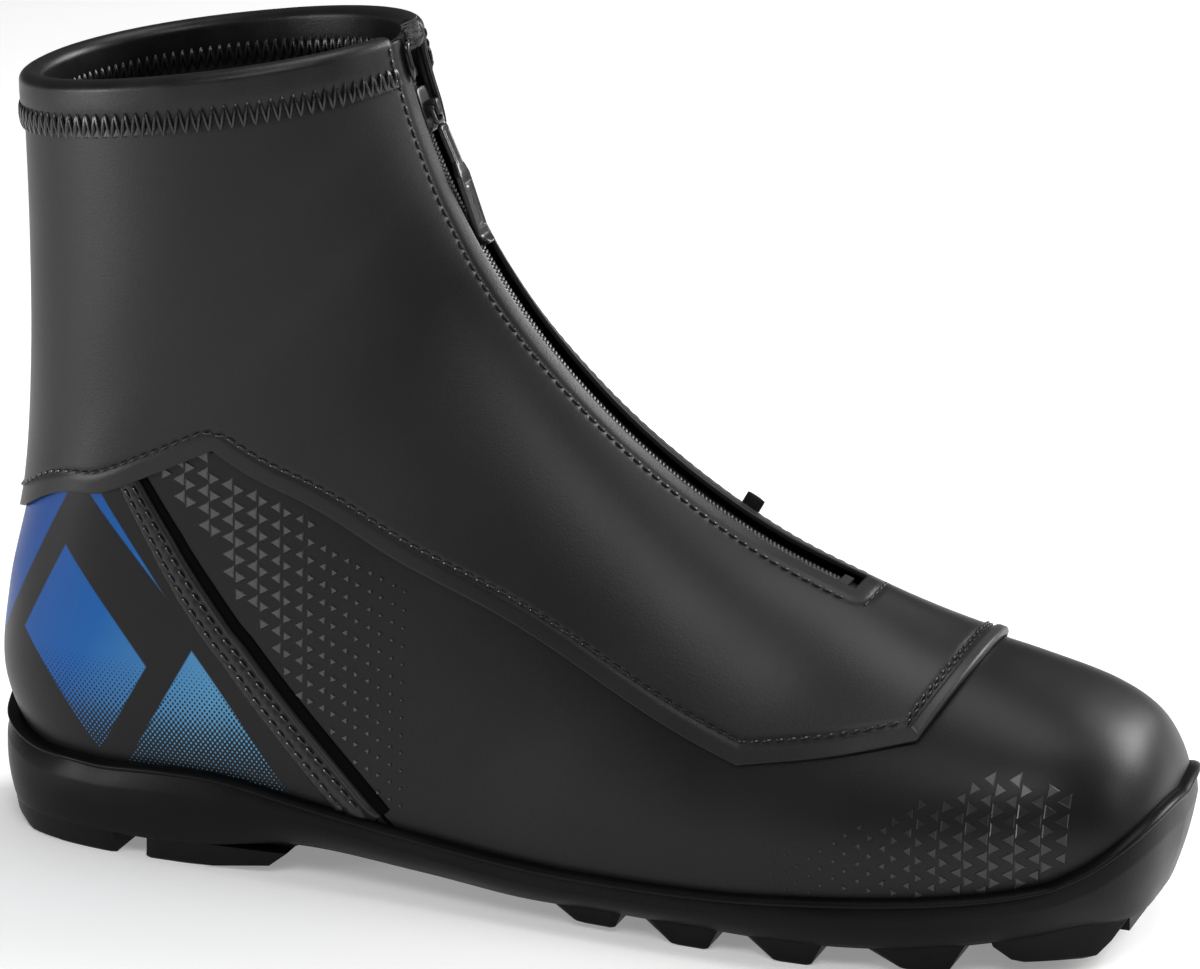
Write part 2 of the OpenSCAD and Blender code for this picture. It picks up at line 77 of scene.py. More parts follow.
def finish(name, dark, light, rough, grain, depth, drift=45, spread=0.05, specular=0.5, **more):
    """Material whose colour drifts from dark to light over a slow noise (drift cycles a metre), whose
    roughness varies by spread over the same noise, and whose grain is a fine noise pressed in to
    a depth in metres. The parts are returned so that a section can add its own weave or print."""
    material = bpy.data.materials.new(name)
    material.use_nodes = True
    tree = material.node_tree
    tree.nodes.clear()
    output = node(tree, "OutputMaterial")
    shader = node(tree, "BsdfPrincipled", {"Specular IOR Level": specular, **more})
    tree.links.new(shader.outputs[0], output.inputs[0])
    where = node(tree, "TexCoord").outputs["Object"]
    cloud = node(tree, "TexNoise", {"Vector": where, "Scale": drift, "Detail": 4.0})
    tone = node(tree, "ValToRGB", {"Fac": cloud.outputs[0]})
    for element, at, colour in zip(tone.color_ramp.elements, (0.3, 0.7), (dark, light)):
        element.position, element.color = at, (*colour, 1)
    tree.links.new(tone.outputs[0], shader.inputs["Base Color"])
    sheen = remap(tree, cloud.outputs[0], 0.3, 0.7, rough - spread, rough + spread)
    tree.links.new(sheen, shader.inputs["Roughness"])
    fine = node(tree, "TexNoise", {"Vector": where, "Scale": grain, "Detail": 3.0})
    bump = node(tree, "Bump", {"Height": fine.outputs[0], "Strength": 1.0, "Distance": depth})
    tree.links.new(bump.outputs[0], shader.inputs["Normal"])
    return material, tree, shader, tone, bump


def dress(name, material):
    """Gives a CAD node a material through its object's slot."""
    nodes[name].material_slots[0].material = material
    for face in nodes[name].data.polygons:
        face.use_smooth = False


tread_rubber = finish("tread_rubber", (0.003, 0.003, 0.0032), (0.005, 0.005, 0.0052), 0.4, 1400,
                      0.00005, specular=0.1)[0]
dress("outsole_plate", tread_rubber)

# ---------------------------------------------------------------- sole rand
# Moulded sidewall that cups the upper all round, with a thin rolled lip at its rim. It is thickest
# at the heel cup and the nose, and sweeps up over the toes. Semi-gloss black rubber.
MIDDLE = 152.5  # the frame's origin, in millimetres from the back of the sole
ZIP_X, ZIP_Z, ZIP_RADIUS = 276, 245, 173  # centre and radius of the zip's arc in side view


def on_zip(degrees):
    """Point of the zip's arc in side view, in millimetres from the heel and from the ground."""
    turn = np.radians(degrees)
    return [ZIP_X + ZIP_RADIUS * np.cos(turn), ZIP_Z + ZIP_RADIUS * np.sin(turn)]


# Rings from toe to collar: top x, z, bottom x, z, outer and inner half width, share of the height
# where the ring is widest, roundness above and squareness below.
RINGS = np.array([
    [300, 20, 300, 20, 1, 1, 0.5, 2.2, 2.2],
    [302.5, 27, 297, 16.5, 17, 17, 0.55, 2.4, 2.6],
    [302.5, 36, 290, 14.5, 26, 27, 0.6, 2.4, 3.2],
    [300, 46, 280, 13, 33, 34, 0.64, 2.3, 4],
    [294, 54.5, 268, 12, 38, 39, 0.68, 2.3, 5],
    [283, 60.5, 252, 11, 42, 43, 0.7, 2.3, 6],
    [266, 66, 232, 10.3, 44.5, 46, 0.72, 2.1, 6],
    [246, 71.5, 208, 9.8, 45.5, 47, 0.73, 1.95, 6],
    on_zip(253) + [182, 9.6, 44.5, 44, 0.74, 1.8, 6],
    on_zip(245) + [152, 10, 42, 40.5, 0.74, 2, 6],
    on_zip(237) + [118, 11.3, 38, 37, 0.72, 2.25, 6],
    on_zip(228.5) + [82, 13.2, 35.5, 35.5, 0.68, 2.25, 6],
    on_zip(220) + [46, 14.3, 34.5, 34.5, 0.63, 2.1, 5],
    on_zip(213) + [17, 16.5, 35, 34.5, 0.57, 2, 3.2],
    on_zip(207) + [3, 34, 36, 35, 0.52, 2, 2.5],
    on_zip(203.5) + [4, 58, 37, 36, 0.5, 2, 2.3],
    on_zip(200) + [10.5, 86, 37.5, 36.5, 0.5, 2, 2.2],
    on_zip(197.5) + [13.5, 117, 38, 37.5, 0.5, 2, 2.2],
    on_zip(195.5) + [14.3, 151, 38, 38, 0.5, 2, 2.2],
    on_zip(193.2) + [13.8, 191, 38, 38.5, 0.5, 2, 2.2]])


def through(rows, at):
    """Smooth curve through evenly numbered rows, read at fractional row numbers. Between two rows it
    is the cubic whose end slopes are half the step between the neighbouring rows."""
    rows, at = np.asarray(rows, float), np.asarray(at, float)
    last = len(rows) - 2
    i = np.clip(np.floor(at).astype(int), 0, last)
    f = (at - i).reshape(at.shape + (1,) * (rows.ndim - 1))
    padded = np.concatenate([2 * rows[:1] - rows[1:2], rows, 2 * rows[-1:] - rows[-2:-1]])
    a, b, c, d = (padded[i + k] for k in range(4))
    return 0.5 * (2 * b + (c - a) * f + (2 * a - 5 * b + 4 * c - d) * f**2 + (3 * b - a - 3 * c + d) * f**3)


def form(s, v):
    """Point of the lasted foot form in metres. s is the ring, v the share of half the girth: 0 on
    top, negative on the outer side, 1 or -1 at the bottom or back. Each ring is a superellipse."""
    s, v = np.broadcast_arrays(np.asarray(s, float), np.asarray(v, float))
    q = np.moveaxis(through(RINGS, s), -1, 0)
    w = v - 2 * np.round(v / 2)
    c, k = np.cos(np.abs(w) * np.pi), np.sin(np.abs(w) * np.pi)
    n = np.where(c >= 0, q[7], q[8])
    r = (np.abs(c) ** n + np.abs(k) ** n) ** (-1 / n)
    t = np.where(c >= 0, q[6] * (1 - c * r), q[6] - (1 - q[6]) * c * r)
    y = np.where(w < 0, -q[4], q[5]) * k * r
    return np.stack([q[0] + (q[2] - q[0]) * t - MIDDLE, y, q[1] + (q[3] - q[1]) * t], -1) * MM


def unit(vectors):
    """Vectors scaled to length one."""
    return vectors / np.maximum(np.linalg.norm(vectors, axis=-1, keepdims=True), 1e-12)


def outward(s, v):
    """Outward direction of the foot form: the cross product of its two surface directions."""
    s, v = np.asarray(s, float), np.asarray(v, float)
    around = form(s, v + 0.004) - form(s, v - 0.004)
    heelward = form(np.minimum(s + 0.05, 19), v) - form(np.maximum(s - 0.05, 0), v)
    return unit(np.cross(around, heelward))


def skin(s, v, depth):
    """Point at a height in millimetres above the foot form."""
    return form(s, v) + np.asarray(depth)[..., None] * MM * outward(s, v)


def grid_faces(rows, columns, wrap=False, ring=False):
    """Quads of a grid of points numbered row by row. With wrap the last column joins the first, and
    with ring the last row does too."""
    i, j = np.meshgrid(np.arange(rows if ring else rows - 1),
                       np.arange(columns if wrap else columns - 1), indexing="ij")
    a, b = i * columns + j, i * columns + (j + 1) % columns
    return np.stack([a, b, b + columns, a + columns], -1).reshape(-1, 4) % (rows * columns)


def xyz(x, y, z):
    """Points from three coordinates, each a number or an array."""
    return np.stack(np.broadcast_arrays(x, y, z), -1)


def capped(rings, poles):
    """Closed shape from closed rings of points, one after another, with a pole point at each end."""
    rows, sides = rings.shape[:2]
    count, j = rows * sides, np.arange(sides)
    k, end = (j + 1) % sides, (rows - 1) * sides
    caps = np.concatenate([np.stack([k, j, np.full(sides, count)], -1),
                           np.stack([end + j, end + k, np.full(sides, count + 1)], -1)])
    return np.concatenate([rings.reshape(-1, 3), poles]), [grid_faces(rows, sides, True), caps]


def slab(outer, inner, wrap=False):
    """Closed sheet between two grids: the outer skin, the inner skin turned over, and a wall along
    every free edge that joins the two."""
    rows, columns = outer.shape[:2]
    count = rows * columns
    face = grid_faces(rows, columns, wrap)
    j = np.arange(columns if wrap else columns - 1)
    k, end = (j + 1) % columns, (rows - 1) * columns
    walls = [np.stack([k, j, j + count, k + count], -1),
             np.stack([end + j, end + k, end + k + count, end + j + count], -1)]
    if not wrap:
        a = np.arange(rows - 1) * columns
        b, c, d = a + columns, a + columns - 1, a + 2 * columns - 1
        walls += [np.stack([a, b, b + count, a + count], -1),
                  np.stack([d, c, c + count, d + count], -1)]
    points = np.concatenate([outer.reshape(-1, 3), inner.reshape(-1, 3)])
    return points, [np.concatenate([face, face[:, ::-1] + count, *walls])]


def join(*shapes):
    """Several shapes as one: their points one after another, with the faces renumbered."""
    points, faces, start = [], [], 0
    for some, groups in shapes:
        points.append(some)
        faces += [group + start for group in groups]
        start += len(some)
    return np.concatenate(points), faces


def add_piece(name, shape, material, body="boot", stands_for=(), bevel=0.0, crease=40,
              layers=None, uv=None):
    """Makes a closed mesh from points and groups of faces. Its signed volume tells whether the faces
    point inwards, and then all of them are turned. Edges are rounded by bevel or kept sharp beyond
    the crease angle. layers are named values per point; uv is a map per point."""
    points, faces = shape
    volume = 0.0
    for group in faces:
        for k in range(1, group.shape[1] - 1):
            a, b, c = points[group[:, 0]], points[group[:, k]], points[group[:, k + 1]]
            volume += np.einsum("ij,ij->", a, np.cross(b, c))
    rows = [face for group in faces for face in (group if volume > 0 else group[:, ::-1]).tolist()]
    mesh = bpy.data.meshes.new(name)
    mesh.from_pydata(points.tolist(), [], rows)
    mesh.polygons.foreach_set("use_smooth", np.ones(len(mesh.polygons), bool))
    for key, values in (layers or {}).items():
        layer = mesh.attributes.new(key, "FLOAT", "POINT")
        layer.data.foreach_set("value", np.asarray(values, np.float32))
    if uv is not None:
        corner = np.zeros(len(mesh.loops), int)
        mesh.loops.foreach_get("vertex_index", corner)
        pattern = mesh.uv_layers.new(name="pattern")
        pattern.data.foreach_set("uv", np.asarray(uv, np.float32)[corner].ravel())
    mesh.materials.append(material)
    piece = bpy.data.objects.new(name, mesh)
    bpy.context.scene.collection.objects.link(piece)
    if bevel:
        rounding = piece.modifiers.new("edge", "BEVEL")
        rounding.width, rounding.segments, rounding.limit_method = bevel, 2, "ANGLE"
        rounding.angle_limit = np.radians(50)
    else:
        mesh.set_sharp_from_angle(angle=np.radians(crease))
    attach(piece, body)
    if stands_for:
        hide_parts(*stands_for)
    return piece


# Rim ring and girth, featherline ring and girth, lower outline x, y and height, rim width.
RAND = np.array([
    [13.8, 1, 13, 1, 2.5, 0, 5.5, 4.2],
    [13.5, 0.87, 12.9, 0.9, 7, -15, 5.5, 3.6],
    [12.9, 0.77, 12.6, 0.84, 18, -26, 5.5, 3],
    [12.4, 0.737, 12.2, 0.81, 37, -31.5, 5.5, 2.8],
    [11.6, 0.702, 11.6, 0.79, 64, -33, 5.5, 2.8],
    [10.9, 0.703, 10.9, 0.78, 92, -33, 9, 2.8],
    [10, 0.707, 9.9, 0.775, 124, -34.5, 6.8, 2.8],
    [9.1, 0.707, 9.1, 0.775, 150, -38, 5.2, 2.8],
    [8.4, 0.7, 8.45, 0.775, 171, -40.5, 5.5, 2.8],
    [7.3, 0.68, 7.45, 0.775, 200, -43, 5.5, 2.8],
    [6.3, 0.648, 6.55, 0.775, 225, -44, 5.5, 2.8],
    [5.25, 0.61, 5.5, 0.775, 250, -42, 7, 2.8],
    [4.3, 0.56, 4.35, 0.77, 271, -36, 9.6, 2.8],
    [3.5, 0.488, 3.4, 0.76, 286, -28.5, 12, 2.8],
    [3, 0.41, 2.4, 0.74, 295, -22, 12.8, 2.8],
    [2.6, 0.26, 1.2, 0.6, 298.5, -13, 13, 2.6],
    [2.3, 0, 0.35, 0, 299, 0, 13, 2.6]])
INNER_GAIN = np.array([0, -0.5, -0.5, -0.5, -1, -2, -3, -2, 0, 1, 1.5, 1, 1, -1, -4, -2, 0.0])


def flat(direction):
    """Direction with its upright part taken out."""
    return unit(direction * [1, 1, 0])


def rand_half(at, side):
    """Cross sections of the rand on one side: a half-round lip, a shallow groove under it, a gently
    full wall, a rounded lower edge, and back up the upper. at counts keys from heel to toe. Near the
    nose the inside sinks into the upper, and it always stays a least wall behind the outside."""
    rim_s, rim_v, sole_s, sole_v, x, y, low, wide = np.moveaxis(through(RAND, at), -1, 0)
    gain = through(INNER_GAIN[:, None], at)[..., 0] if side > 0 else 0
    lower = xyz(x - MIDDLE, side * (gain - y), low) * MM
    rim, h = form(rim_s, side * rim_v), flat(outward(rim_s, side * rim_v))
    up, least_wall = np.array([0, 0, MM]), 2.2 * MM
    wide = wide[:, None]
    belt = rim + wide * MM * h - 3.4 * up
    wall = [belt + (lower - belt) * t + np.sin(np.pi * t) * 0.9 * MM * h
            for t in np.linspace(0.12, 0.93, 14)]
    lip = [rim + h * MM * (0.5 + (wide - 0.4) * np.sin(a)) + up * (-0.75 + 1.15 * np.cos(a))
           for a in np.radians(np.linspace(-10, 150, 12))]
    sink = 3.0 * np.clip((at - 13) / 2, 0, 1)
    inner = [skin(rim_s + (sole_s - rim_s) * t, side * (rim_v + (sole_v - rim_v) * t),
                  0.35 - sink * t**0.7) for t in np.linspace(1, 0, 8)]
    foot = skin(sole_s, side * sole_v, 0.35 - sink)
    under = foot * [1, 1, 0] + (low * MM)[:, None] * [0, 0, 1]
    reach = np.einsum("ij,ij->i", lower - under, h)[:, None]
    under = np.where(reach < least_wall, lower - least_wall * h, under)
    back = flat(under - lower)
    round_off = [lower + back * MM * 0.4 * (1 - np.cos(a)) + up * 0.4 * (1 - np.sin(a))
                 for a in np.radians([0, 45, 90])]
    return np.stack(lip + wall + round_off + [(lower + under) / 2, under] + inner, 1)


at = np.linspace(0, 16, 16 * 14 + 1)
rand_grid = np.concatenate([rand_half(at, -1), rand_half(at[-2:0:-1], 1)])
rand_shape = rand_grid.reshape(-1, 3), [grid_faces(*rand_grid.shape[:2], wrap=True, ring=True)]
rand_rubber = finish("rand_rubber", (0.0025, 0.0025, 0.0027), (0.004, 0.004, 0.0042), 0.38, 900,
                     0.00003, specular=0.1)[0]
add_piece("rand_moulding", rand_shape, rand_rubber, stands_for=["sole_rand"], crease=60)


# ---------------------------------------------------------------- lugs and toe block
# Cut with the rand in one mould, so their side walls run on from it. The forefoot lugs have long
# rear flanks; two guide grooves for the binding run through them. The toe block holds the bar.
outline_at = np.linspace(0, 16, 400)
outline = through(RAND, outline_at)[:, 4:6]
OUTLINE_Y = {-1: -np.abs(outline[:, 1]),
             1: np.abs(outline[:, 1]) + through(INNER_GAIN[:, None], outline_at)[:, 0]}


def lug(profile, inner_y, outer_y, blend=0.35, count=14):
    """Closed block: at each level of its profile (height, rear x, front x) a ring runs along one side,
    over the front, back along the other side and over the rear, in millimetres. Corners are rounded
    by pulling the first and last points of each side in, and the lowest level is drawn in too. The
    sides lean in by 0.12 of the height below the top, as a mould's draft does."""
    rings = []
    t = np.linspace(0, 1, count)
    for level, (z, rear, front) in enumerate(profile):
        x = rear + (front - rear) * t
        low_y, high_y = inner_y(x), outer_y(x)
        pull = blend if level == 0 else 0
        ends = np.where((t == 0) | (t == 1), 0.5, 0) + pull + 0.12 * (profile[-1][0] - z)
        a, b = xyz(x, low_y + ends, z), xyz(x, high_y - ends, z)[::-1]
        a[:, 0] += pull * (1 - 2 * t)
        b[:, 0] += pull * (1 - 2 * t[::-1])
        across = np.linspace(0, 1, 7)[1:-1, None]
        rings.append(np.concatenate([a, a[-1] + (b[0] - a[-1]) * across,
                                     b, b[-1] + (a[0] - b[-1]) * across]))
    grid = (np.stack(rings) - [MIDDLE, 0, 0]) * MM
    return capped(grid, grid[[0, -1]].mean(1))


def side_wall(side):
    """A lug's flank along the rand's lower edge, 0.2 percent outside it, at distances from the heel."""
    return lambda x: np.interp(x, outline[:, 0], OUTLINE_Y[side]) * 1.002


def fixed(y):
    """A lug's flank straight along the boot."""
    return lambda x: np.full(len(x), float(y))


HEEL_LUGS = [[(0, 24, 42), (0.4, 14, 42), (2.5, 8.5, 41.6), (6.2, 4.5, 41.2)],
             [(0, 50, 62), (0.5, 50, 70), (2.2, 50.2, 83), (6.2, 50.5, 88)]]
heel_lugs = join(*(lug(profile, side_wall(-1), side_wall(1)) for profile in HEEL_LUGS))
add_piece("heel_lugs", heel_lugs, tread_rubber, stands_for=["heel_tread"], crease=30)
FOREFOOT = [[(1.5, 167, 175.5), (1.9, 165, 175.8), (6.6, 158, 178)],
            [(0, 191, 199.5), (0.4, 190, 199.8), (6.6, 182.5, 203)],
            [(0, 217, 225.5), (0.4, 216, 225.8), (6.6, 208.5, 229)],
            [(1.5, 248.5, 258), (1.9, 247, 258.4), (8.4, 235.5, 262)]]
BANDS = [(side_wall(-1), fixed(-15.5)), (fixed(-8.5), fixed(8.5)), (fixed(15.5), side_wall(1))]
forefoot = [lug(profile, *band) for profile in FOREFOOT for band in BANDS]
add_piece("forefoot_lugs", join(*forefoot), tread_rubber,
          stands_for=["forefoot_tread"], crease=30)
cheeks = [lug([(4, 273.5, 288.5), (4.6, 272, 290), (8, 268, 293), (13, 266.5, 296)], *band)
          for band in (BANDS[0], BANDS[2])]
cheeks.append(lug([(4.2, 273, 279.6), (4.6, 272, 280), (10.5, 267, 280)], *BANDS[1]))
add_piece("toe_cheeks", join(*cheeks), tread_rubber, stands_for=["toe_block"], crease=30)


# ---------------------------------------------------------------- toe bar and its saddle
# A ground steel bar set across the nose, which a binding hooks over, in a moulded saddle.
def tube(path, up, wide, high, sides=20):
    """Closed tube: an ellipse at each path point, wide across and high along up, with a pole at
    each end. Half sizes are in metres and may vary along the path."""
    tangent = unit(np.gradient(path, axis=0))
    across = unit(np.cross(np.broadcast_to(up, path.shape), tangent))
    rise = np.cross(tangent, across)
    turn = np.linspace(0, 2 * np.pi, sides, endpoint=False)
    wide, high = (np.broadcast_to(x, len(path))[:, None, None] for x in (wide, high))
    ring = (path[:, None] + across[:, None] * wide * np.cos(turn)[:, None]
            + rise[:, None] * high * np.sin(turn)[:, None])
    return capped(ring, path[[0, -1]])


low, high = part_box("toe_bar")
middle = (np.array(low) + np.array(high)) / 2
bar_y = np.array([low[1], low[1] + 0.0002, *np.linspace(low[1] + 0.0008, high[1] - 0.0008, 9),
                  high[1] - 0.0002, high[1]])
bar_path = xyz(middle[0], bar_y, middle[2])
bar_radius = (high[2] - low[2]) / 2 * np.array([0.75, 0.93, *[1] * 9, 0.93, 0.75])
steel = finish("ground_steel", (0.5, 0.51, 0.53), (0.62, 0.63, 0.65), 0.28, 2500, 0.00001, Metallic=1.0)[0]
add_piece("ground_bar", tube(bar_path, [0, 0, 1], bar_radius, bar_radius, 40), steel,
          stands_for=["toe_bar"])
saddle = finish("saddle_plastic", (0.004, 0.004, 0.0042), (0.006, 0.006, 0.0062), 0.45, 1500,
                0.00003, specular=0.12)[0]
dress("bar_insert", saddle)

# ---------------------------------------------------------------- shank, board and stiffeners
# Under the foot: a sprung steel strip and a pressed fibre board. Thermoplastic sheet stiffens the
# heel and the toe between the lining and the outside.
strip_steel = finish("strip_steel", (0.4, 0.41, 0.43), (0.5, 0.51, 0.52), 0.35, 1200, 0.00002,
                     Metallic=1.0)[0]
dress("shank", strip_steel)
fibre = finish("fibre_board", (0.2, 0.15, 0.09), (0.3, 0.23, 0.15), 0.85, 1800, 0.00012, drift=300)[0]
dress("lasting_board", fibre)
sheet_plastic = finish("stiffener_sheet", (0.09, 0.09, 0.095), (0.12, 0.12, 0.125), 0.5, 900, 0.00005)[0]
for name in ("heel_counter", "toe_puff"):
    dress(name, sheet_plastic)

# ---------------------------------------------------------------- footbed
# Felt over foam, cut to the board and cupped at the heel; it lies loose on the board.
low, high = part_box("footbed")
t = np.linspace(0, 1, 91)[:, None]
u = np.linspace(-1, 1, 41)[None, :]
s_line = 12.6 - 11.6 * t[:, 0]
edges = [form(s_line, side * 0.8)[:, :2] for side in (-1, 1)]
length = high[0] - low[0]
end = np.clip(1 - np.abs(2 * t - 1) ** 9, 0, 1) ** 0.42
x = low[0] + length * t
half = [np.interp(x[:, 0], edge[:, 0], np.abs(edge[:, 1])) - 0.0102 for edge in edges]
y = (np.where(u < 0, half[0][:, None], half[1][:, None]) * u) * end
floor_x = np.array([17, 46, 82, 118, 152, 182, 208, 232, 252, 268, 280, 290]) * MM - MIDDLE * MM
floor_z = np.array([16.5, 14.3, 13.2, 11.3, 10, 9.6, 9.8, 10.3, 11, 12, 13, 14.5]) * MM
level = np.interp(x, floor_x, floor_z)
cup = 1.4 * MM * np.abs(u) ** 4 * np.clip(1 - t * 2.2, 0, 1)
crown = np.sqrt(np.clip(1 - (np.abs(u) * 0.995) ** 10, 0, 1)) * np.sqrt(np.clip(end, 0.02, 1))
BED_HEIGHT, BED_HALF = 5.35, 1.55
top = xyz(x, y, level + (BED_HEIGHT + BED_HALF * crown) * MM + cup * crown)
bottom = xyz(x, y, level + (BED_HEIGHT - BED_HALF * crown) * MM)
felt = finish("footbed_felt", (0.02, 0.02, 0.021), (0.045, 0.045, 0.048), 0.92, 2600, 0.0002,
              drift=420, **{"Sheen Weight": 0.4, "Sheen Roughness": 0.5})[0]
bed = add_piece("felt_footbed", slab(top, bottom), felt, stands_for=["footbed"], crease=60)

# ---------------------------------------------------------------- fleece lining
# Brushed fleece on thin foam, sewn as a sock: deep in the foot it stands off the outside, and it
# comes up behind the collar band. It is open at the instep, where the tongue closes it.


def below_top(s, v):
    """Distance down the surface from the collar, in millimetres."""
    return (19 - s) * 2000 * np.linalg.norm(form(19 + 0 * s, v) - form(18.5 + 0 * s, v), axis=-1)


def loop(line):
    """Closed loop of an edge given for the outer half, from the middle of the back round both sides."""
    return np.concatenate([line[:0:-1] * [1, -1], line[:-1]])


def tube_grid(lower, upper, rows):
    """Surface positions between two loops: a straight blend of ring and girth; rows run from 0 to 1."""
    return upper + (lower - upper) * (1 - np.asarray(rows))[:, None, None]


LINING_LOW = np.array([[1.7, 0], [2, 0.4], [3, 0.66], [4.6, 0.77], [6.55, 0.79], [8.45, 0.79], [9.9, 0.79],
                       [10.9, 0.79], [12, 0.81], [13.1, 0.88], [13.6, 1]])
LINING_TOP = np.array([[8.7, 0], [8.7, 0.125], [9.6, 0.125], [11, 0.125], [13, 0.125], [15.5, 0.125],
                       [18.9, 0.125], [18.9, 0.3], [18.9, 0.5], [18.9, 0.75], [18.9, 1]])


def straight(line, count):
    """Evenly spaced positions on the straight pieces of a line, count to a piece."""
    at = np.linspace(0, len(line) - 1, (len(line) - 1) * count + 1)
    return np.stack([np.interp(at, np.arange(len(line)), line[:, k]) for k in (0, 1)], -1)


rows = 1 - (1 - np.linspace(0, 1, 61)) ** 1.5
grid = tube_grid(loop(straight(LINING_LOW, 12)), loop(straight(LINING_TOP, 12)), rows)
s, v = grid[..., 0], grid[..., 1]
depth = 0.1 + 3.7 * np.clip((below_top(s, v) - 15) / 11, 0, 1)
fleece = finish("fleece", (0.006, 0.006, 0.0065), (0.022, 0.022, 0.024), 0.95, 1500, 0.0006,
                drift=700, **{"Sheen Weight": 0.5, "Sheen Roughness": 0.4})[0]
lining = add_piece("fleece_lining", slab(skin(s, v, -depth), skin(s, v, -depth - 1.7), wrap=True),
                   fleece, stands_for=["lining"], crease=60)

# ---------------------------------------------------------------- tongue
# A padded textile gusset behind the zip, sewn in three channels along its length.
t, u = np.meshgrid(np.linspace(0, 1, 81), np.linspace(-1, 1, 49), indexing="ij")
edge = np.sqrt(np.clip(1 - np.abs(u) ** 6, 0, 1)) * np.sqrt(np.clip(1 - np.abs(2 * t - 1) ** 16, 0, 1))
puff = (0.55 + 0.45 * np.abs(np.cos(u * 1.5 * np.pi)) ** 0.5) * edge
tongue_cloth = finish("tongue_cloth", (0.012, 0.012, 0.013), (0.026, 0.026, 0.028), 0.85, 2200, 0.0002,
                      drift=500, **{"Sheen Weight": 0.3})[0]
s, v = 9.2 + 9.4 * t, 0.19 * u
tongue = add_piece("padded_tongue", slab(skin(s, v, -7.4 + 1.0 * puff), skin(s, v, -7.4 - 1.0 * puff)),
                   tongue_cloth, stands_for=["tongue"], crease=60)

# ---------------------------------------------------------------- vamp
# Thin coated synthetic lasted over the toes, satin black with a faint grain. Two fields of small
# raised triangles are moulded into each side: glossy ones by the heel seam, matt ones by the toes.
SEAM = np.array([[14.9, 0.55], [13.1, 0.492], [11.9, 0.512], [10.9, 0.6], [10, 0.727], [9.7, 0.8]])
VAMP = np.array([
    [[12.7, 0.34], [10.4, 0.295], [8.3, 0.3], [7, 0.2], [7, 0]],
    [[11.6, 0.42], [9.8, 0.41], [7.6, 0.42], [5.6, 0.3], [5.4, 0]],
    [[10.9, 0.5], [9.3, 0.53], [7, 0.52], [4.4, 0.38], [3.9, 0]],
    [[10.1, 0.6], [8.7, 0.63], [6.4, 0.61], [3.4, 0.45], [2.6, 0]],
    [[9.4, 0.71], [8.2, 0.72], [5.9, 0.7], [2.6, 0.56], [1.3, 0]],
    [[9, 0.8], [7.6, 0.8], [5.2, 0.8], [1.6, 0.72], [0.35, 0]]])


def refine(keys, rows, columns):
    """Fine grid of surface positions through a coarse one, smooth in both directions."""
    for count in (columns, rows):
        keys = np.moveaxis(keys, 1, 0)
        keys = through(keys, np.linspace(0, len(keys) - 1, (len(keys) - 1) * count + 1))
    return keys


keys = np.concatenate([(SEAM - [0, 0.001])[:, None], VAMP], 1)[::-1]
keys = np.concatenate([keys * [1, -1], keys[:, -2::-1]], 1)
grid = refine(keys, 16, 18)
s, v = grid[..., 0], grid[..., 1]
coated = finish("coated_synthetic", (0.0052, 0.0052, 0.0055), (0.0075, 0.0075, 0.0078), 0.4, 2600, 0.00004,
                drift=25, spread=0.03, specular=0.2)[0]
add_piece("vamp_sheet", slab(skin(s, v, 0 * s), skin(s, v, 0 * s - 1.4)), coated,
          stands_for=["vamp"], crease=60)

look_s, look_v = np.meshgrid(np.linspace(1, 16.5, 311), np.linspace(0.15, 0.95, 201), indexing="ij")
look = form(look_s, -look_v)


def from_side(x, z):
    """Surface position (ring, girth share) seen from the outer side at x and z in metres: the nearest
    of many tried positions, then four Newton steps on x and z."""
    x, z = np.asarray(x).ravel(), np.asarray(z).ravel()
    blocks = 1 + len(x) // 400
    best = np.concatenate([np.argmin((look[..., 0].reshape(1, -1) - xs[:, None]) ** 2
                                     + (look[..., 2].reshape(1, -1) - zs[:, None]) ** 2, 1)
                           for xs, zs in zip(np.array_split(x, blocks), np.array_split(z, blocks))])
    s, v = look_s.ravel()[best], look_v.ravel()[best]
    for _ in range(4):
        here = form(s, -v)
        ds = (form(s + 0.01, -v) - here) / 0.01
        dv = (form(s, -v - 0.002) - here) / 0.002
        ex, ez = x - here[:, 0], z - here[:, 2]
        det = ds[:, 0] * dv[:, 2] - ds[:, 2] * dv[:, 0]
        det = np.where(np.abs(det) < 1e-7, 1e-7, det)
        s = s + np.clip((ex * dv[:, 2] - ez * dv[:, 0]) / det, -0.3, 0.3)
        v = v + np.clip((ds[:, 0] * ez - ds[:, 2] * ex) / det, -0.02, 0.02)
    return s, v


def triangles(x, z, size, left, rise):
    """Raised triangles that point heelwards or toewards on both sides of the boot. Each is a closed
    prism with a bevelled top: a base just under the surface and a smaller top face above it."""
    tip = np.where(left, -1, 1)
    cx = np.stack([x + tip * size * 0.55, x - tip * size * 0.45, x - tip * size * 0.45], -1)
    cz = np.stack([z, z + size * 0.57, z - size * 0.57], -1)
    mid = np.stack([x, z], -1)[:, None]
    corners = np.stack([cx, cz], -1)
    shrunk = mid + (corners - mid) * 0.66
    both = np.concatenate([corners, shrunk], 1)
    s, v = (q.reshape(-1, 6) for q in from_side(both[..., 0], both[..., 1]))
    depth = np.tile([-0.15] * 3 + [rise] * 3, (len(x), 1))
    first = 6 * np.arange(len(x))[:, None]
    ends = np.concatenate([first + p for p in ([3, 4, 5], [2, 1, 0])])
    flanks = np.concatenate([first + p for p in ([0, 1, 4, 3], [1, 2, 5, 4], [2, 0, 3, 5])])
    shapes = []
    for side in (-1, 1):
        turned = left ^ (side > 0)
        faces = [np.where(np.tile(turned, len(group) // len(x))[:, None], group[:, ::-1], group)
                 for group in (ends, flanks)]
        shapes.append((skin(s, side * v, depth).reshape(-1, 3), faces))
    return join(*shapes)


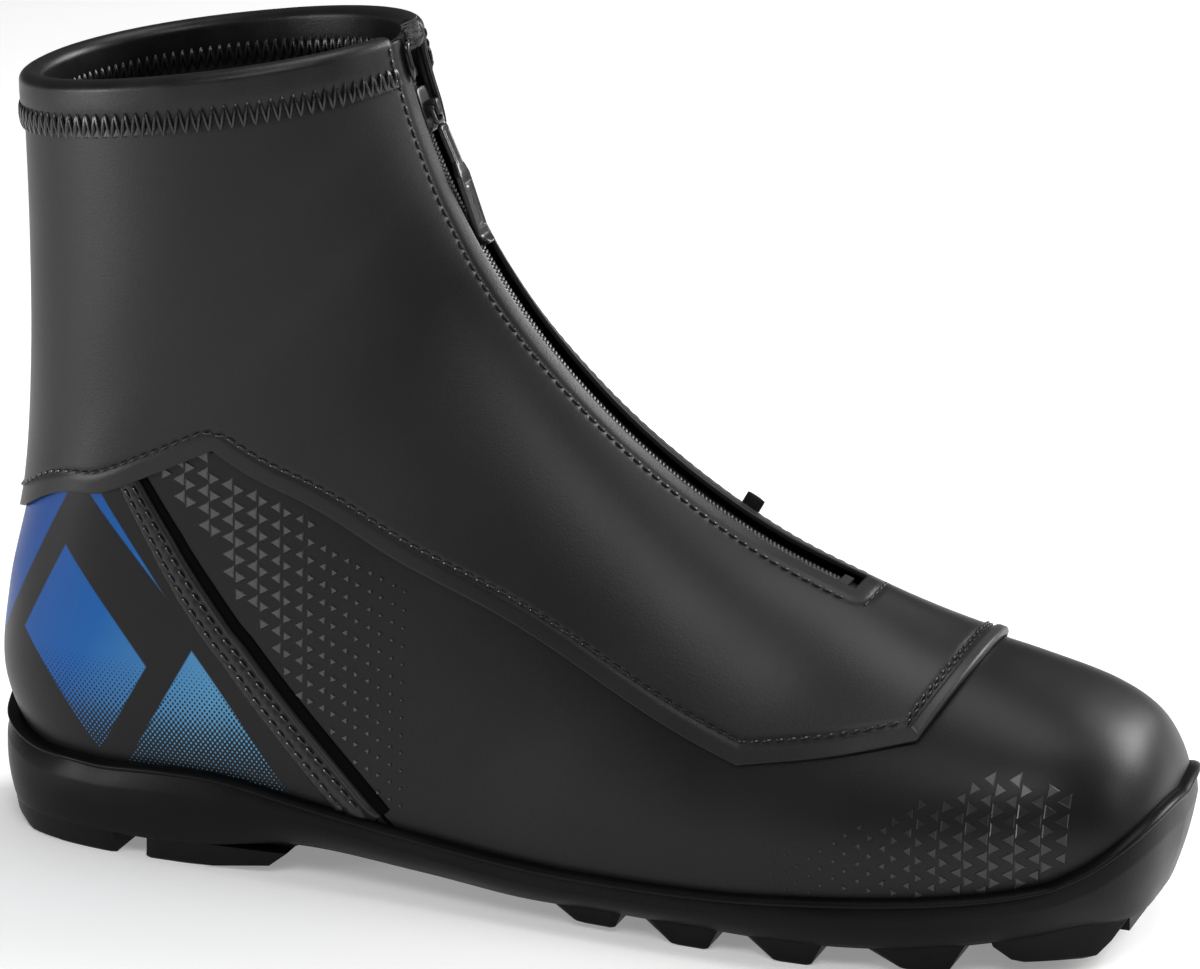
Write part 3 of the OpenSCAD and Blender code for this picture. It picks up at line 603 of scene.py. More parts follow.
def lattice(x_first, x_last, z_first, z_last, pair, row, slope):
    """Centres of a sloping lattice of triangles in side view, in metres, with their direction."""
    i, j = np.meshgrid(np.arange(int((x_last - x_first) / pair * 2) + 1), np.arange(60), indexing="ij")
    x = x_first + i * pair / 2
    z = z_first - 0.03 + j * row + (x - x_first) * slope + np.where(i % 2, row / 2, 0)
    keep = (z > z_first) & (z < z_last)
    return x[keep] - MIDDLE * MM, z[keep], (i % 2 == 1)[keep]


def cover_edge_at(s):
    """Girth share of the cover's lower edge on the side of the boot at a ring."""
    return np.interp(s, [7.95, 9.3, 10.4, 11.5, 12.7, 13.9], [0.377, 0.347, 0.34, 0.357, 0.38, 0.44])


x, z, left = lattice(0.036, 0.124, 0.018, 0.112, 0.0060, 0.0044, 0.33)
from_heel = x + MIDDLE * MM
size = 0.0034 * (0.22 + 0.78 * np.clip((0.120 - from_heel) / 0.042, 0, 1))
s, v = from_side(x, z)
seam_v = np.interp(s, SEAM[::-1, 0], SEAM[::-1, 1])
keep = (v < seam_v - 0.026) & (v > cover_edge_at(s) + 0.012) & (from_heel < 0.122) & (v < 0.695)
gloss_print = finish("raised_gloss", (0.032, 0.032, 0.033), (0.045, 0.045, 0.046), 0.26, 2000, 0.00001)[0]
add_piece("heel_side_triangles", triangles(x[keep], z[keep], size[keep], left[keep], 0.36),
          gloss_print, crease=20)

x, z, left = lattice(0.217, 0.285, 0.017, 0.052, 0.0058, 0.0043, 0.0)
from_heel = x + MIDDLE * MM
size = 0.0034 * (0.2 + 0.8 * np.clip((from_heel - 0.222) / 0.046, 0, 1))
s, v = from_side(x, z)
top_line = np.interp(from_heel, [0.217, 0.269, 0.285], [0.028, 0.051, 0.046])
rim_v = np.interp(s, RAND[14:8:-1, 0], RAND[14:8:-1, 1])
keep = (z < top_line) & (v < rim_v - 0.02) & (v < 0.66)
matt_print = finish("raised_matt", (0.006, 0.006, 0.0063), (0.009, 0.009, 0.0093), 0.34, 1500, 0.00002)[0]
add_piece("toe_side_triangles", triangles(x[keep], z[keep], size[keep], left[keep], 0.2),
          matt_print, crease=20)

# ---------------------------------------------------------------- heel panel
# The same coated synthetic, cupped round the heel, printed in blue: plain slanted shards, deep blue
# at the back and steel blue in front, that break up into a fine mesh towards the sole.
HEEL = np.array([
    [[15.35, 0.66], [15.9, 0.82], [16.3, 1]],
    [[13.9, 0.64], [14.8, 0.81], [15.3, 1]],
    [[12.9, 0.64], [13.9, 0.82], [14.5, 1]],
    [[12.1, 0.69], [13.1, 0.84], [13.9, 1]],
    [[11.4, 0.765], [12.6, 0.86], [13.35, 1]],
    [[11.2, 0.81], [12.3, 0.87], [13, 1]]])
keys = np.concatenate([(SEAM + [0, 0.008])[:, None], HEEL], 1)[::-1]
keys = np.concatenate([keys - [0, 2], (keys * [1, -1])[:, -2::-1]], 1)
grid = refine(keys, 18, 20)
s, v = grid[..., 0], grid[..., 1]
outer = skin(s, v, 0 * s)
panel_uv = np.stack([(outer[..., 0] + MIDDLE * MM) * 10, outer[..., 2] * 10], -1).reshape(-1, 2)
print_blue, tree, shader, tone, _ = finish(
    "printed_synthetic", (0.0052, 0.0052, 0.0055), (0.0075, 0.0075, 0.0078), 0.4, 2600, 0.00004,
    drift=25, spread=0.03, specular=0.2)
place = node(tree, "UVMap", uv_map="pattern").outputs[0]


def inside(tree, place, normal, offset):
    """Signed distance in decimetres from a line in the panel's plane, positive on its normal's side."""
    length = np.hypot(*normal)
    reach = node(tree, "VectorMath", {0: place, 1: (normal[0] / length, normal[1] / length, 0)},
                 operation="DOT_PRODUCT")
    return maths(tree, "SUBTRACT", reach.outputs["Value"], offset / length)


# Each shard is the common part of the half planes (across, up) . normal > offset, in decimetres.
SHARDS = [
    [((-1, 0.59), 0.225)],
    [((1.244, 1), 1.424), ((-1.545, -1), -1.596)],
    [((1.353, 1), 0.78), ((-1.353, -1), -1.22), ((1, -0.59), -0.155), ((-1, 0.59), -0.225)],
    [((-1.353, -1), -1.44), ((1, -0.59), 0.315), ((0, 1), 0.2)],
]
area = None
for shard in SHARDS:
    piece_of = None
    for normal, offset in shard:
        plane = inside(tree, place, normal, offset)
        piece_of = plane if piece_of is None else maths(tree, "MINIMUM", piece_of, plane)
    area = piece_of if area is None else maths(tree, "MAXIMUM", area, piece_of)
split = node(tree, "SeparateXYZ", {0: place})
MESH_PITCH = 620.0  # radians a decimetre
mesh_u, mesh_v = (
    maths(tree, "SINE", maths(tree, "MULTIPLY", inside(tree, place, (1, lean), 0), MESH_PITCH))
    for lean in (0.8, -0.8))
dots = maths(tree, "MULTIPLY", maths(tree, "ADD", mesh_u, mesh_v), 0.5)
fade = remap(tree, split.outputs[1], 0.26, 0.58, 0.8, -1.3)
meshed = remap(tree, maths(tree, "SUBTRACT", dots, fade), -0.12, 0.12, 0.0, 1.0)
crisp = remap(tree, area, -0.002, 0.002, 0.0, 1.0)
mask = maths(tree, "MULTIPLY", crisp, meshed)
shift = inside(tree, place, (1, -0.55), 0)
blues = node(tree, "ValToRGB", {"Fac": remap(tree, shift, -0.3, 0.4, 0.0, 1.0)})
stops = blues.color_ramp.elements
stops[0].color, stops[1].color = (0.0005, 0.034, 0.19, 1), (0.07, 0.24, 0.42, 1)
stops.new(0.5).color = (0.002, 0.085, 0.31, 1)
blend_colour(tree, shader, mask, tone.outputs[0], blues.outputs[0])
add_piece("heel_sheet", slab(outer, skin(s, v, 0 * s - 1.4)), print_blue,
          stands_for=["heel_panel"], uv=np.concatenate([panel_uv, panel_uv]), crease=60)


# ---------------------------------------------------------------- seam welts
# A folded strip along each seam between vamp and heel panel, stitched down in two rows: a round ridge
# stands beside a flat strip coloured near black as painted shade, and each stitch row lies in its own
# shallow channel.
def beside(line, distance):
    """Line on the foot form moved sideways by a distance in millimetres, positive to the left of its
    direction seen from outside. Three least-squares steps find the surface point by each target."""
    here, e = form(line[:, 0], line[:, 1]), 0.004
    sideways = np.cross(outward(line[:, 0], line[:, 1]), unit(np.gradient(here, axis=0)))
    target = here + sideways * np.broadcast_to(distance, len(line))[:, None] * MM
    for _ in range(3):
        s, v = line[:, 0], line[:, 1]
        along_s = (form(s + e, v) - form(s - e, v)) / (2 * e)
        along_v = (form(s, v + e) - form(s, v - e)) / (2 * e)
        a, b, c = (np.einsum("ij,ij->i", p, q)
                   for p, q in ((along_s, along_s), (along_s, along_v), (along_v, along_v)))
        d, g = (np.einsum("ij,ij->i", p, target - form(s, v)) for p in (along_s, along_v))
        det = a * c - b * b
        line = line + np.stack([(c * d - b * g) / det, (a * g - b * d) / det], -1)
    return line


def threads(starts, ends, normals, radius, bow):
    """Short threads from starts to ends: five rings of six points with a pole at each end; the middle
    rises by bow and both ends dip into the surface, as a pulled stitch does."""
    count, sides = len(starts), 6
    u = np.array([-0.92, -0.55, 0, 0.55, 0.92])
    thick = np.array([0.5, 0.9, 1, 0.9, 0.5]) * radius
    mid, half = (starts + ends) / 2, (ends - starts) / 2
    across = unit(np.cross(normals, half))
    centre = mid[:, None] + half[:, None] * u[:, None] + normals[:, None] * (bow * (1 - u**2))[:, None]
    turn = np.arange(sides) * 2 * np.pi / sides
    ring = centre[:, :, None] + thick[None, :, None, None] * (
        across[:, None, None] * np.cos(turn)[:, None] + normals[:, None, None] * np.sin(turn)[:, None])
    points = np.concatenate([ring.reshape(count, -1, 3), starts[:, None], ends[:, None]], 1)
    base = points.shape[1] * np.arange(count)[:, None, None]
    one = capped(ring[0], np.stack([starts[0], ends[0]]))[1]
    return points.reshape(-1, 3), [(part[None] + base).reshape(-1, part.shape[1]) for part in one]


def stitch_line(line, height, pitch=3.0, gap=0.55, radius=0.3, slant=0.12, bow=0.16):
    """Stitches of even pitch along a line on the foot form, at a height in millimetres above it. Each
    is turned a little across the line, as a lockstitch lies."""
    at = np.linspace(0, len(line) - 1, 3000)
    fine = np.stack([np.interp(at, np.arange(len(line)), line[:, k]) for k in (0, 1)], -1)
    lift = np.interp(at, np.arange(len(line)), np.broadcast_to(height, len(line)))
    points, normals = skin(fine[:, 0], fine[:, 1], lift), outward(fine[:, 0], fine[:, 1])
    run = np.concatenate([[0], np.cumsum(np.linalg.norm(np.diff(points, axis=0), axis=1))]) / MM
    first = np.arange(pitch * 0.3, run[-1] - pitch, pitch)

    def read(rows, where):
        return np.stack([np.interp(where, run, rows[:, k]) for k in range(3)], -1)
    a, b, n = read(points, first), read(points, first + pitch - gap), unit(read(normals, first + pitch / 2))
    lean = unit(np.cross(n, b - a)) * slant * MM
    return threads(a - lean, b + lean, n, radius * MM, bow * MM)


thread = finish("black_thread", (0.006, 0.006, 0.0063), (0.012, 0.012, 0.0123), 0.26, 6000, 0.00003,
                drift=300)[0]
seam_at = np.linspace(0.02, 3.62, 241)
seam_line = through(SEAM, seam_at)
seam_side = form(seam_line[:, 0], -seam_line[:, 1])
seam_line = np.stack(from_side(*(np.polyval(np.polyfit(seam_at, seam_side[:, k], 4), seam_at)
                                 for k in (0, 2))), -1)
ACROSS = np.array([-2.9, -2.7, -2.2, -1.2, -0.4, 0.15, 0.3, 0.7, 1.2, 1.7, 2.3,
                   2.8, 3.3, 3.8, 4.6, 5.4, 6.0, 6.5, 7.0, 7.6, 8.2, 8.6])
LIFT = np.array([-0.3, 0.25, 0.42, 0.4, 0.3, 0.25, 0.55, 1.25, 1.5, 1.2, 0.75,
                 0.5, 0.4, 0.6, 0.9, 0.9, 0.62, 0.4, 0.55, 0.6, 0.45, 0.06])
welt_coat, tree, shader, tone, _ = finish(
    "welt_coating", (0.010, 0.010, 0.0103), (0.013, 0.013, 0.0133), 0.36, 2600, 0.00004, drift=60)
# Painted shade: up to 0.1 mm across the seam the colour is near black and matt, blending into the coating
# by 0.4 mm, standing in for the shade of the groove under the ridge.
reach = node(tree, "Attribute", attribute_name="across_mm").outputs["Fac"]
out_of_painted_shade = remap(tree, reach, 0.1, 0.4, 0.0, 1.0)
blend_colour(tree, shader, out_of_painted_shade, (0.0015, 0.0015, 0.0015, 1), tone.outputs[0])
for key, black, coat in (("Roughness", 0.95, 0.36), ("Specular IOR Level", 0.05, 0.32)):
    tree.links.new(remap(tree, out_of_painted_shade, 0.0, 1.0, black, coat), shader.inputs[key])
for side, label in ((-1, "lateral"), (1, "medial")):
    line = (seam_line + [0, 0.004]) * [1, side]
    spread_out = np.interp(seam_at, [0, 1.2, 3.6], [0.66, 0.95, 1.12])
    strip = np.stack([beside(line, side * x * spread_out) for x in ACROSS], 1)
    s, v = strip[..., 0], strip[..., 1]
    ripple = 0.06 * np.sin(np.linspace(0, 1, len(seam_at)) * 2 * np.pi * 38)[:, None] * (ACROSS > 3)
    fade_end = np.clip((1 - seam_at / 3.62) / 0.03, 0, 1)[:, None] ** 0.5
    up = LIFT * fade_end + ripple * fade_end
    under = np.where(ACROSS > 0.2, -1.1, -0.5) + 0 * s
    add_piece("welt_" + label, slab(skin(s, v, up), skin(s, v, under)), welt_coat,
              stands_for=["seam_welt_" + label], crease=60,
              layers={"across_mm": np.tile(ACROSS, 2 * len(seam_at))})
    for row, distance in enumerate((3.3, 6.5)):
        stitches = stitch_line(beside(line, side * distance * spread_out)[:-6], 0.42,
                               pitch=3.3, radius=0.4, bow=0.3)
        add_piece(f"welt_stitches_{label}_{row}", stitches, thread)

# ---------------------------------------------------------------- softshell cover
# A tall sleeve of coated softshell from the toes to the collar, open along the zip. Its lower edge
# laps over vamp and heel panel, and a row of stitches follows it 5 mm in. It steps up 1.6 mm.
EDGE = [np.array([[6.5, 0], [6.5, 0.14], [6.5, 0.262]]),
        np.array([[6.5, 0.262], [7.2, 0.325], [7.95, 0.377]]),
        np.array([[7.95, 0.377], [9.3, 0.347], [10.4, 0.34], [11.5, 0.357], [12.7, 0.38], [13.9, 0.44]]),
        np.array([[13.9, 0.44], [14.7, 0.58], [15.5, 0.72], [15.9, 1]])]
SLOT = 0.034
TOP = np.array([[8.1, 0], [8.1, SLOT], [9, SLOT], [10.5, SLOT], [12, SLOT], [14, SLOT], [16.5, SLOT],
                [18.9, SLOT], [18.9, 0.15], [18.9, 0.3], [18.9, 0.5], [18.9, 0.75], [18.9, 1]])


def smooth_edge(count):
    """Lower edge from the middle of the instep to the back: smooth pieces that meet in corners."""
    pieces = [through(piece, np.linspace(0, len(piece) - 1, (len(piece) - 1) * count + 1))
              for piece in EDGE]
    return np.concatenate([piece[:-1] for piece in pieces[:-1]] + [pieces[-1]])


def distance_to(points, line):
    """Distance in millimetres from each point to the nearest point of a line, in blocks."""
    flat_points = points.reshape(-1, 3)
    near = [np.sqrt(((block[:, None] - line[None]) ** 2).sum(-1).min(1)) for block in
            np.array_split(flat_points, 60)]
    return np.concatenate(near) / MM


low_edge, top_edge = loop(smooth_edge(18)), loop(straight(TOP, 18))
rows = np.linspace(0, 1, 97) ** 1.15
grid = tube_grid(low_edge, top_edge, rows)
s, v = grid[..., 0], grid[..., 1]
outer, inner = skin(s, v, 0 * s + 1.6), skin(s, v, 0 * s + 0.4)
slot_points = form(*loop(straight(TOP[:8], 60)).T)
edge_points = form(*loop(smooth_edge(40)).T)
softshell, tree, shader, _, bump = finish(
    "softshell", (0.0075, 0.0075, 0.0078), (0.0105, 0.0105, 0.0108), 0.4, 2200, 0.00005,
    drift=18, specular=0.28)
groove = None
for key, centre in (("edge_mm", 5.2), ("slot_mm", 5.0)):
    reach = node(tree, "Attribute", attribute_name=key).outputs["Fac"]
    off = maths(tree, "DIVIDE", maths(tree, "SUBTRACT", reach, centre), 0.9)
    dip = maths(tree, "EXPONENT", maths(tree, "MULTIPLY", maths(tree, "MULTIPLY", off, off), -1.0))
    groove = dip if groove is None else maths(tree, "MAXIMUM", groove, dip)
pressed = node(tree, "Bump", {"Height": groove, "Strength": 1.0, "Distance": 0.00025,
                              "Normal": bump.outputs[0]}, invert=True)
tree.links.new(pressed.outputs[0], shader.inputs["Normal"])
points = np.concatenate([outer.reshape(-1, 3), inner.reshape(-1, 3)])
add_piece("cover_sleeve", slab(outer, inner, wrap=True), softshell, stands_for=["cover"],
          bevel=0.00035, layers={"edge_mm": distance_to(points, edge_points),
                                 "slot_mm": distance_to(points, slot_points)})

half_edge = smooth_edge(40)
inset = [beside(piece[::-1], -5.2)[::-1] for piece in
         (half_edge[80:161], half_edge[160:361], half_edge[360:])]


def corner_join(first, second):
    """Two lines joined where they cross or come closest, so that a stitch row turns a sharp corner."""
    gap = ((first[:, None] - second[None]) ** 2 * [1, 60]).sum(-1)
    i, j = np.unravel_index(np.argmin(gap), gap.shape)
    return np.concatenate([first[:i], second[j:]])


def over_instep(ring, half, count=60):
    """Line over the instep at a ring, from a girth share on the outer side to the same on the inner."""
    return np.stack([np.full(count, ring), np.linspace(-half, half, count)], -1)


side_row = corner_join(corner_join(inset[0], inset[1]), inset[2])
side_row = side_row[(side_row[:, 0] > 6.74)]
front_row = over_instep(6.74, side_row[0, 1])
shapes = [stitch_line(row, 1.62, radius=0.38, bow=0.24)
          for row in (side_row * [1, -1], side_row, front_row)]
add_piece("cover_edge_stitches", join(*shapes), thread)
slot_side = straight(TOP[1:8], 60)
for label, line, height, radius, bow in (
        ("lateral", beside(slot_side * [1, -1], 5.0), 1.62, 0.3, 0.18),
        ("medial", beside(slot_side, -5.0), 1.5, 0.22, 0.05)):
    line = line[line[:, 0] > 7.92]
    topstitch = stitch_line(line[line[:, 0] < 18.6], height, pitch=2.9, radius=radius, bow=bow)
    add_piece("zip_topstitch_" + label, topstitch, thread)
add_piece("zip_topstitch_end", stitch_line(over_instep(7.9, abs(line[0, 1]), 30), 1.62, pitch=2.9),
          thread)

# ---------------------------------------------------------------- fold band over the toes
# The cover's front edge is turned up as a 5 mm band across the instep, with a row of stitches
# behind it. Its colour is a little lighter than the cover's, as painted light on the band's face towards
# the toe.
t, u = np.meshgrid(np.linspace(0, 1, 17), np.linspace(-1, 1, 121), indexing="ij")
crown = (1 - np.abs(2 * t - 1) ** 5) * np.clip((1 - np.abs(u)) / 0.02, 0, 1) ** 0.5
s, v = 6.50 + 0.155 * t, (0.256 - 0.012 * t) * u
# Painted highlight: the band is coloured lighter than the cover because its face towards the toe catches
# the light.
band_painted_light = finish("fold_band_painted_light", (0.02, 0.02, 0.0205), (0.028, 0.028, 0.0285), 0.42, 2200,
                   0.00004, drift=40, specular=0.3)[0]
add_piece("fold_band", slab(skin(s, v, 1.62 + 0.75 * crown), skin(s, v, 1.55 + 0 * s)), band_painted_light,
          stands_for=["cover_front_band"], crease=60)
add_piece("fold_band_stitches", stitch_line(over_instep(6.7, 0.25), 1.62), thread)


# ---------------------------------------------------------------- collar band
# A strip of neoprene folded over the top edge, padded round the fold, and sewn through with a thick
# zigzag thread outside and inside. Its ends are turned in and tacked beside the zip.
def on_band(v, depth, down):
    """Point of the collar: down millimetres below the top of the foot form, or above it if negative,
    and depth millimetres outside it."""
    v, depth, down = np.broadcast_arrays(v, depth, down)
    rate = 2000 * np.linalg.norm(form(19 + 0 * v, v) - form(18.5 + 0 * v, v), axis=-1)
    above = np.maximum(-down, 0)[..., None] * MM * np.array([0, 0, 1.0])
    return skin(19 - np.maximum(down, 0) / rate, v, depth) + above


turn = np.radians(np.linspace(0, 180, 25))
leg = np.linspace(12, 1.9, 16)
pinch = 0.45 * np.exp(-((leg - 9.2) / 2.4) ** 2)
depth = np.concatenate([2.65 - pinch, -0.25 + 2.9 * np.cos(turn), -3.15 + 0.6 * pinch[::-1]])
down = np.concatenate([leg, 1.2 - 2.5 * np.sin(turn), leg[::-1]])
inward = np.concatenate([1.68 + 0 * leg, -0.25 + 1.9 * np.cos(turn), -2.2 + 0 * leg])
inner_down = np.concatenate([leg, 1.6 - 1.6 * np.sin(turn), leg[::-1]])
share = np.linspace(0, 1, 421)
lead = np.interp(depth, [-3, 0, 2], [0.125, 0.09, 0.072])[:, None]
v = -2 + lead + (2 - 2 * lead) * share
tuck = np.clip(np.minimum(share, 1 - share) / 0.006, 0, 1) ** 0.5
dented = np.concatenate([pinch, 0 * turn, pinch[::-1]])[:, None] / 0.45
wave = 0.10 * np.sin(share * 2 * np.pi * 104) * dented
outside = inward[:, None] + (depth - inward)[:, None] * tuck + wave
neoprene = finish("neoprene", (0.006, 0.006, 0.0063), (0.009, 0.009, 0.0093), 0.36, 3200, 0.00006,
                  drift=120, specular=0.3)[0]
collar = add_piece("collar_fold", slab(on_band(v, outside, down[:, None]),
                                       on_band(v, inward[:, None], inner_down[:, None])),
                   neoprene, stands_for=["collar_band"], crease=75)
for label, lift, upper_y, lower_y, start in (("outside", 2.62, 6.4, 12.6, 0.076),
                                             ("inside", -3.25, 5.6, 11.2, 0.128)):
    count = 206
    v = -2 + start + (2 - 2 * start) * np.arange(count + 1) / count
    down_at = np.where(np.arange(count + 1) % 2, upper_y, lower_y)
    path = on_band(v, np.where(down_at > 12, 2.2, lift), down_at)
    normals = outward(np.full(count, 18.9), (v[1:] + v[:-1]) / 2) * np.sign(lift)
    add_piece("collar_zigzag_" + label,
              threads(path[:-1], path[1:], normals, 0.48 * MM, 0.3 * MM), thread)
for side in (-1, 1):
    rows_down = np.linspace(1.5, 12, 5)
    a, b = (on_band(side * 0.088, 2.7, down) for down in (rows_down[:-1], rows_down[1:] - 0.4))
    normals = outward(np.full(4, 18.9), np.full(4, side * 0.088))
    add_piece("collar_end_stitches_" + ("medial" if side > 0 else "lateral"),
              threads(a, b, normals, 0.3 * MM, 0.15 * MM), thread)

# ---------------------------------------------------------------- storm flap and zip tapes
# A thin woven strip behind the zip, and the two knitted tapes that carry the chain, sewn to the
# inside of the cover along the slot.
t, u = np.meshgrid(np.linspace(0, 1, 121), np.linspace(-1, 1, 13), indexing="ij")
s, v = 7.9 + 10.9 * t, 0.1 * u


def woven(name, dark, light, rough, pitch, depth):
    """Woven or knitted cloth: two crossed waves along the piece's own map, deep between the yarns, where
    painted shade darkens the colour.
    """
    material, tree, shader, tone, bump = finish(name, dark, light, rough, 3000, 0.00004, drift=400)
    split = node(tree, "SeparateXYZ", {0: node(tree, "UVMap", uv_map="pattern").outputs[0]})
    a, b = (maths(tree, "MULTIPLY", split.outputs[k], 2 * np.pi / pitch) for k in (0, 1))
    knit = maths(tree, "MULTIPLY", maths(tree, "SINE", maths(tree, "ADD", a, b)),
                 maths(tree, "SINE", maths(tree, "SUBTRACT", a, b)))
    weave = node(tree, "Bump", {"Height": knit, "Strength": 1.0, "Distance": depth,
                                "Normal": bump.outputs[0]})
    tree.links.new(weave.outputs[0], shader.inputs["Normal"])
    # Painted shade: the colour darkens towards near black in the hollows between the yarns, following the
    # knit's depth.
    weave_shade_share = remap(tree, knit, -1.0, 1.0, 0.25, 1.0)
    blend_colour(tree, shader, weave_shade_share, (0.003, 0.003, 0.003, 1), tone.outputs[0])
    return material


def strip_uv(s, v):
    """Map of a strip in millimetres: along its length and across it."""
    points = form(s, v)
    steps = np.linalg.norm(np.diff(points, axis=0), axis=-1)
    long_way = np.cumsum(np.concatenate([np.zeros((1, s.shape[1])), steps]), 0)
    return np.stack([long_way, points[..., 1]], -1).reshape(-1, 2) / MM


flap_cloth = woven("flap_cloth", (0.008, 0.008, 0.0085), (0.014, 0.014, 0.015), 0.85, 0.9, 0.00015)
uv = strip_uv(s, v)
add_piece("woven_flap", slab(skin(s, v, 0 * s - 2.85), skin(s, v, 0 * s - 3.35)), flap_cloth,
          stands_for=["storm_flap"], uv=np.concatenate([uv, uv]), crease=60)
tape_cloth = woven("tape_cloth", (0.02, 0.02, 0.021), (0.045, 0.045, 0.047), 0.7, 0.8, 0.0002)
for side, label in ((-1, "lateral"), (1, "medial")):
    t, u = np.meshgrid(np.linspace(0, 1, 161), np.linspace(0, 1, 13), indexing="ij")
    s, v = 7.8 + 11 * t, side * (0.010 + 0.102 * u)
    uv = strip_uv(s, v)
    ridge = 0.25 * np.exp(-((u - 0.05) / 0.05) ** 2)
    add_piece("knitted_tape_" + label, slab(skin(s, v, -1.85 + ridge), skin(s, v, 0 * s - 2.45)),
              tape_cloth, stands_for=["zip_tape_" + label],
              uv=np.concatenate([uv, uv]), crease=60)

# ---------------------------------------------------------------- zip chain and stops
# Moulded nylon coil: two rows of small lugs that mesh along the middle of the slot, on a flat core.


def away(degrees):
    """Direction away from the foot at an angle of the zip's arc."""
    turn = np.radians(degrees)
    return xyz(-np.cos(turn), 0, -np.sin(turn))


def along(degrees):
    """Direction down the zip at an angle of its arc."""
    turn = np.radians(degrees)
    return xyz(-np.sin(turn), 0, np.cos(turn))


def by_zip(points, degrees, height=0.0, lift=0.0):
    """Points given down the zip, across it and away from the foot, in millimetres, put on the zip's
    arc at an angle and a height above it, and tipped up by lift degrees about that place."""
    tip = np.radians(lift)
    x = points[..., 0] * np.cos(tip) - points[..., 2] * np.sin(tip)
    z = points[..., 0] * np.sin(tip) + points[..., 2] * np.cos(tip)
    origin = xyz(ZIP_X - MIDDLE, 0, ZIP_Z) - (ZIP_RADIUS - height) * away(degrees)
    sideways = points[..., 1:2] * np.array([0, 1.0, 0])
    return (origin + x[..., None] * along(degrees) + z[..., None] * away(degrees) + sideways) * MM


core_turn = np.linspace(197, 250.4, 181)
core = by_zip(xyz(0, 0, -1.35 + 0 * core_turn), core_turn)
nylon = finish("coil_nylon", (0.03, 0.03, 0.031), (0.07, 0.07, 0.072), 0.38, 3000, 0.00003, drift=600)[0]
chain_shapes = [tube(core, away(core_turn), 1.5 * MM, 0.3 * MM, 10)]
lug_turn = np.arange(197.2, 250.3, 0.36)
for side in (-1, 1):
    shift = 0.18 if side > 0 else 0.0
    a = by_zip(xyz(0.35, side * -0.35, -0.95 + 0 * lug_turn), lug_turn + shift)
    b = by_zip(xyz(-0.35, side * 2.0, -1.1 + 0 * lug_turn), lug_turn + shift)
    chain_shapes.append(threads(a, b, away(lug_turn), 0.42 * MM, 0.2 * MM))
add_piece("coil_chain", join(*chain_shapes), nylon, stands_for=["zip_chain"])
stop_film = finish("stop_film", (0.006, 0.006, 0.0063), (0.01, 0.01, 0.0103), 0.55, 1800, 0.00002,
                   specular=0.3)[0]
black_paint = finish("black_paint", (0.01, 0.01, 0.0105), (0.014, 0.014, 0.0145), 0.28, 1800, 0.00002)[0]
for name in ("zip_bottom_stop", "zip_top_stop"):
    dress(name, stop_film)

# ---------------------------------------------------------------- zip garage, bar tack and side tag
# A glossy moulded loop that holds the top of the zip, longer on the inner side; a dense tack of
# thread gathers the tapes over it; a small folded ribbon tag stands beside the slot's inner edge.
leg_outer = np.linspace(196.9, 194.6, 12)
leg_inner = np.linspace(194.6, 201.2, 16)
bend = np.radians(np.linspace(0, 90, 9))
corner_turn, corner_y = 194.6 - 0.75 * np.sin(bend[1:]), 4.8 - 1.8 * (1 - np.cos(bend[1:]))
turns = np.concatenate([leg_outer, corner_turn, np.full(7, 193.85), corner_turn[::-1], leg_inner])
sides_y = np.concatenate([np.full(12, -4.8), -corner_y, np.linspace(-2.5, 2.5, 7), corner_y[::-1],
                          np.full(16, 4.8)])
garage_line = by_zip(xyz(0, sides_y, 0), turns, 2.0)
run = np.linspace(0, 1, len(turns))
taper = np.maximum(np.clip(np.minimum(run, 1 - run) / 0.09, 0.0, 1) ** 0.5, 0.15)
gloss = finish("gloss_black", (0.008, 0.008, 0.0085), (0.011, 0.011, 0.0115), 0.14, 500, 0.00001,
               spread=0.02)[0]
add_piece("garage_loop", tube(garage_line, away(turns), 0.95 * MM * taper, 0.9 * MM * taper),
          gloss, stands_for=["zip_garage"])
rng = np.random.default_rng(7)
STRANDS, TACK_TURN = 46, 193.0
strand = np.arange(STRANDS)
base_x = -1.6 + 6.2 * (strand % 23) / 23 + rng.normal(0, 0.12, STRANDS)
height = np.where(strand < 23, 1.9, 2.5) + rng.normal(0, 0.1, STRANDS)
a, b = (by_zip(xyz(base_x + rng.normal(0, 0.35, STRANDS), side * 4.4 + rng.normal(0, 0.4, STRANDS),
                   height), TACK_TURN) for side in (-1, 1))
up = np.broadcast_to(away(turns)[len(turns) // 2], a.shape)
add_piece("tack_threads", threads(a, b, up, 0.42 * MM, 0.7 * MM), thread,
          stands_for=["bar_tack"])
low, high = (np.array(corner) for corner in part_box("side_tag"))
centre = (low + high) / 2 / MM
tag_x, tag_z = centre[0] - ZIP_X + MIDDLE, centre[2] - ZIP_Z
tag_turn = np.degrees(np.arctan2(tag_z, tag_x))
reach = ZIP_RADIUS - np.hypot(tag_z, tag_x)
arch = np.radians(np.linspace(0, 180, 25))
fold = xyz(0, centre[1] + 0.4 * np.cos(arch), reach - 2.2 + 3.1 * np.sin(arch) ** 0.6)
tag_line = by_zip(fold, tag_turn)
tag_cloth = finish("tag_ribbon", (0.005, 0.005, 0.0053), (0.009, 0.009, 0.0093), 0.7, 4000, 0.0001,
                   drift=600, specular=0.3)[0]
add_piece("folded_tag", tube(tag_line, along(tag_turn), 0.3 * MM, 2.4 * MM, 16), tag_cloth,
          stands_for=["side_tag"])

# ---------------------------------------------------------------- slider, bail and pull
# Painted die-cast slider that runs on the chain, a wire bail through its eye, and a long flat
# rubber pull with a recessed frame near its hooked tip.
SLIDER_TURN = 199.5


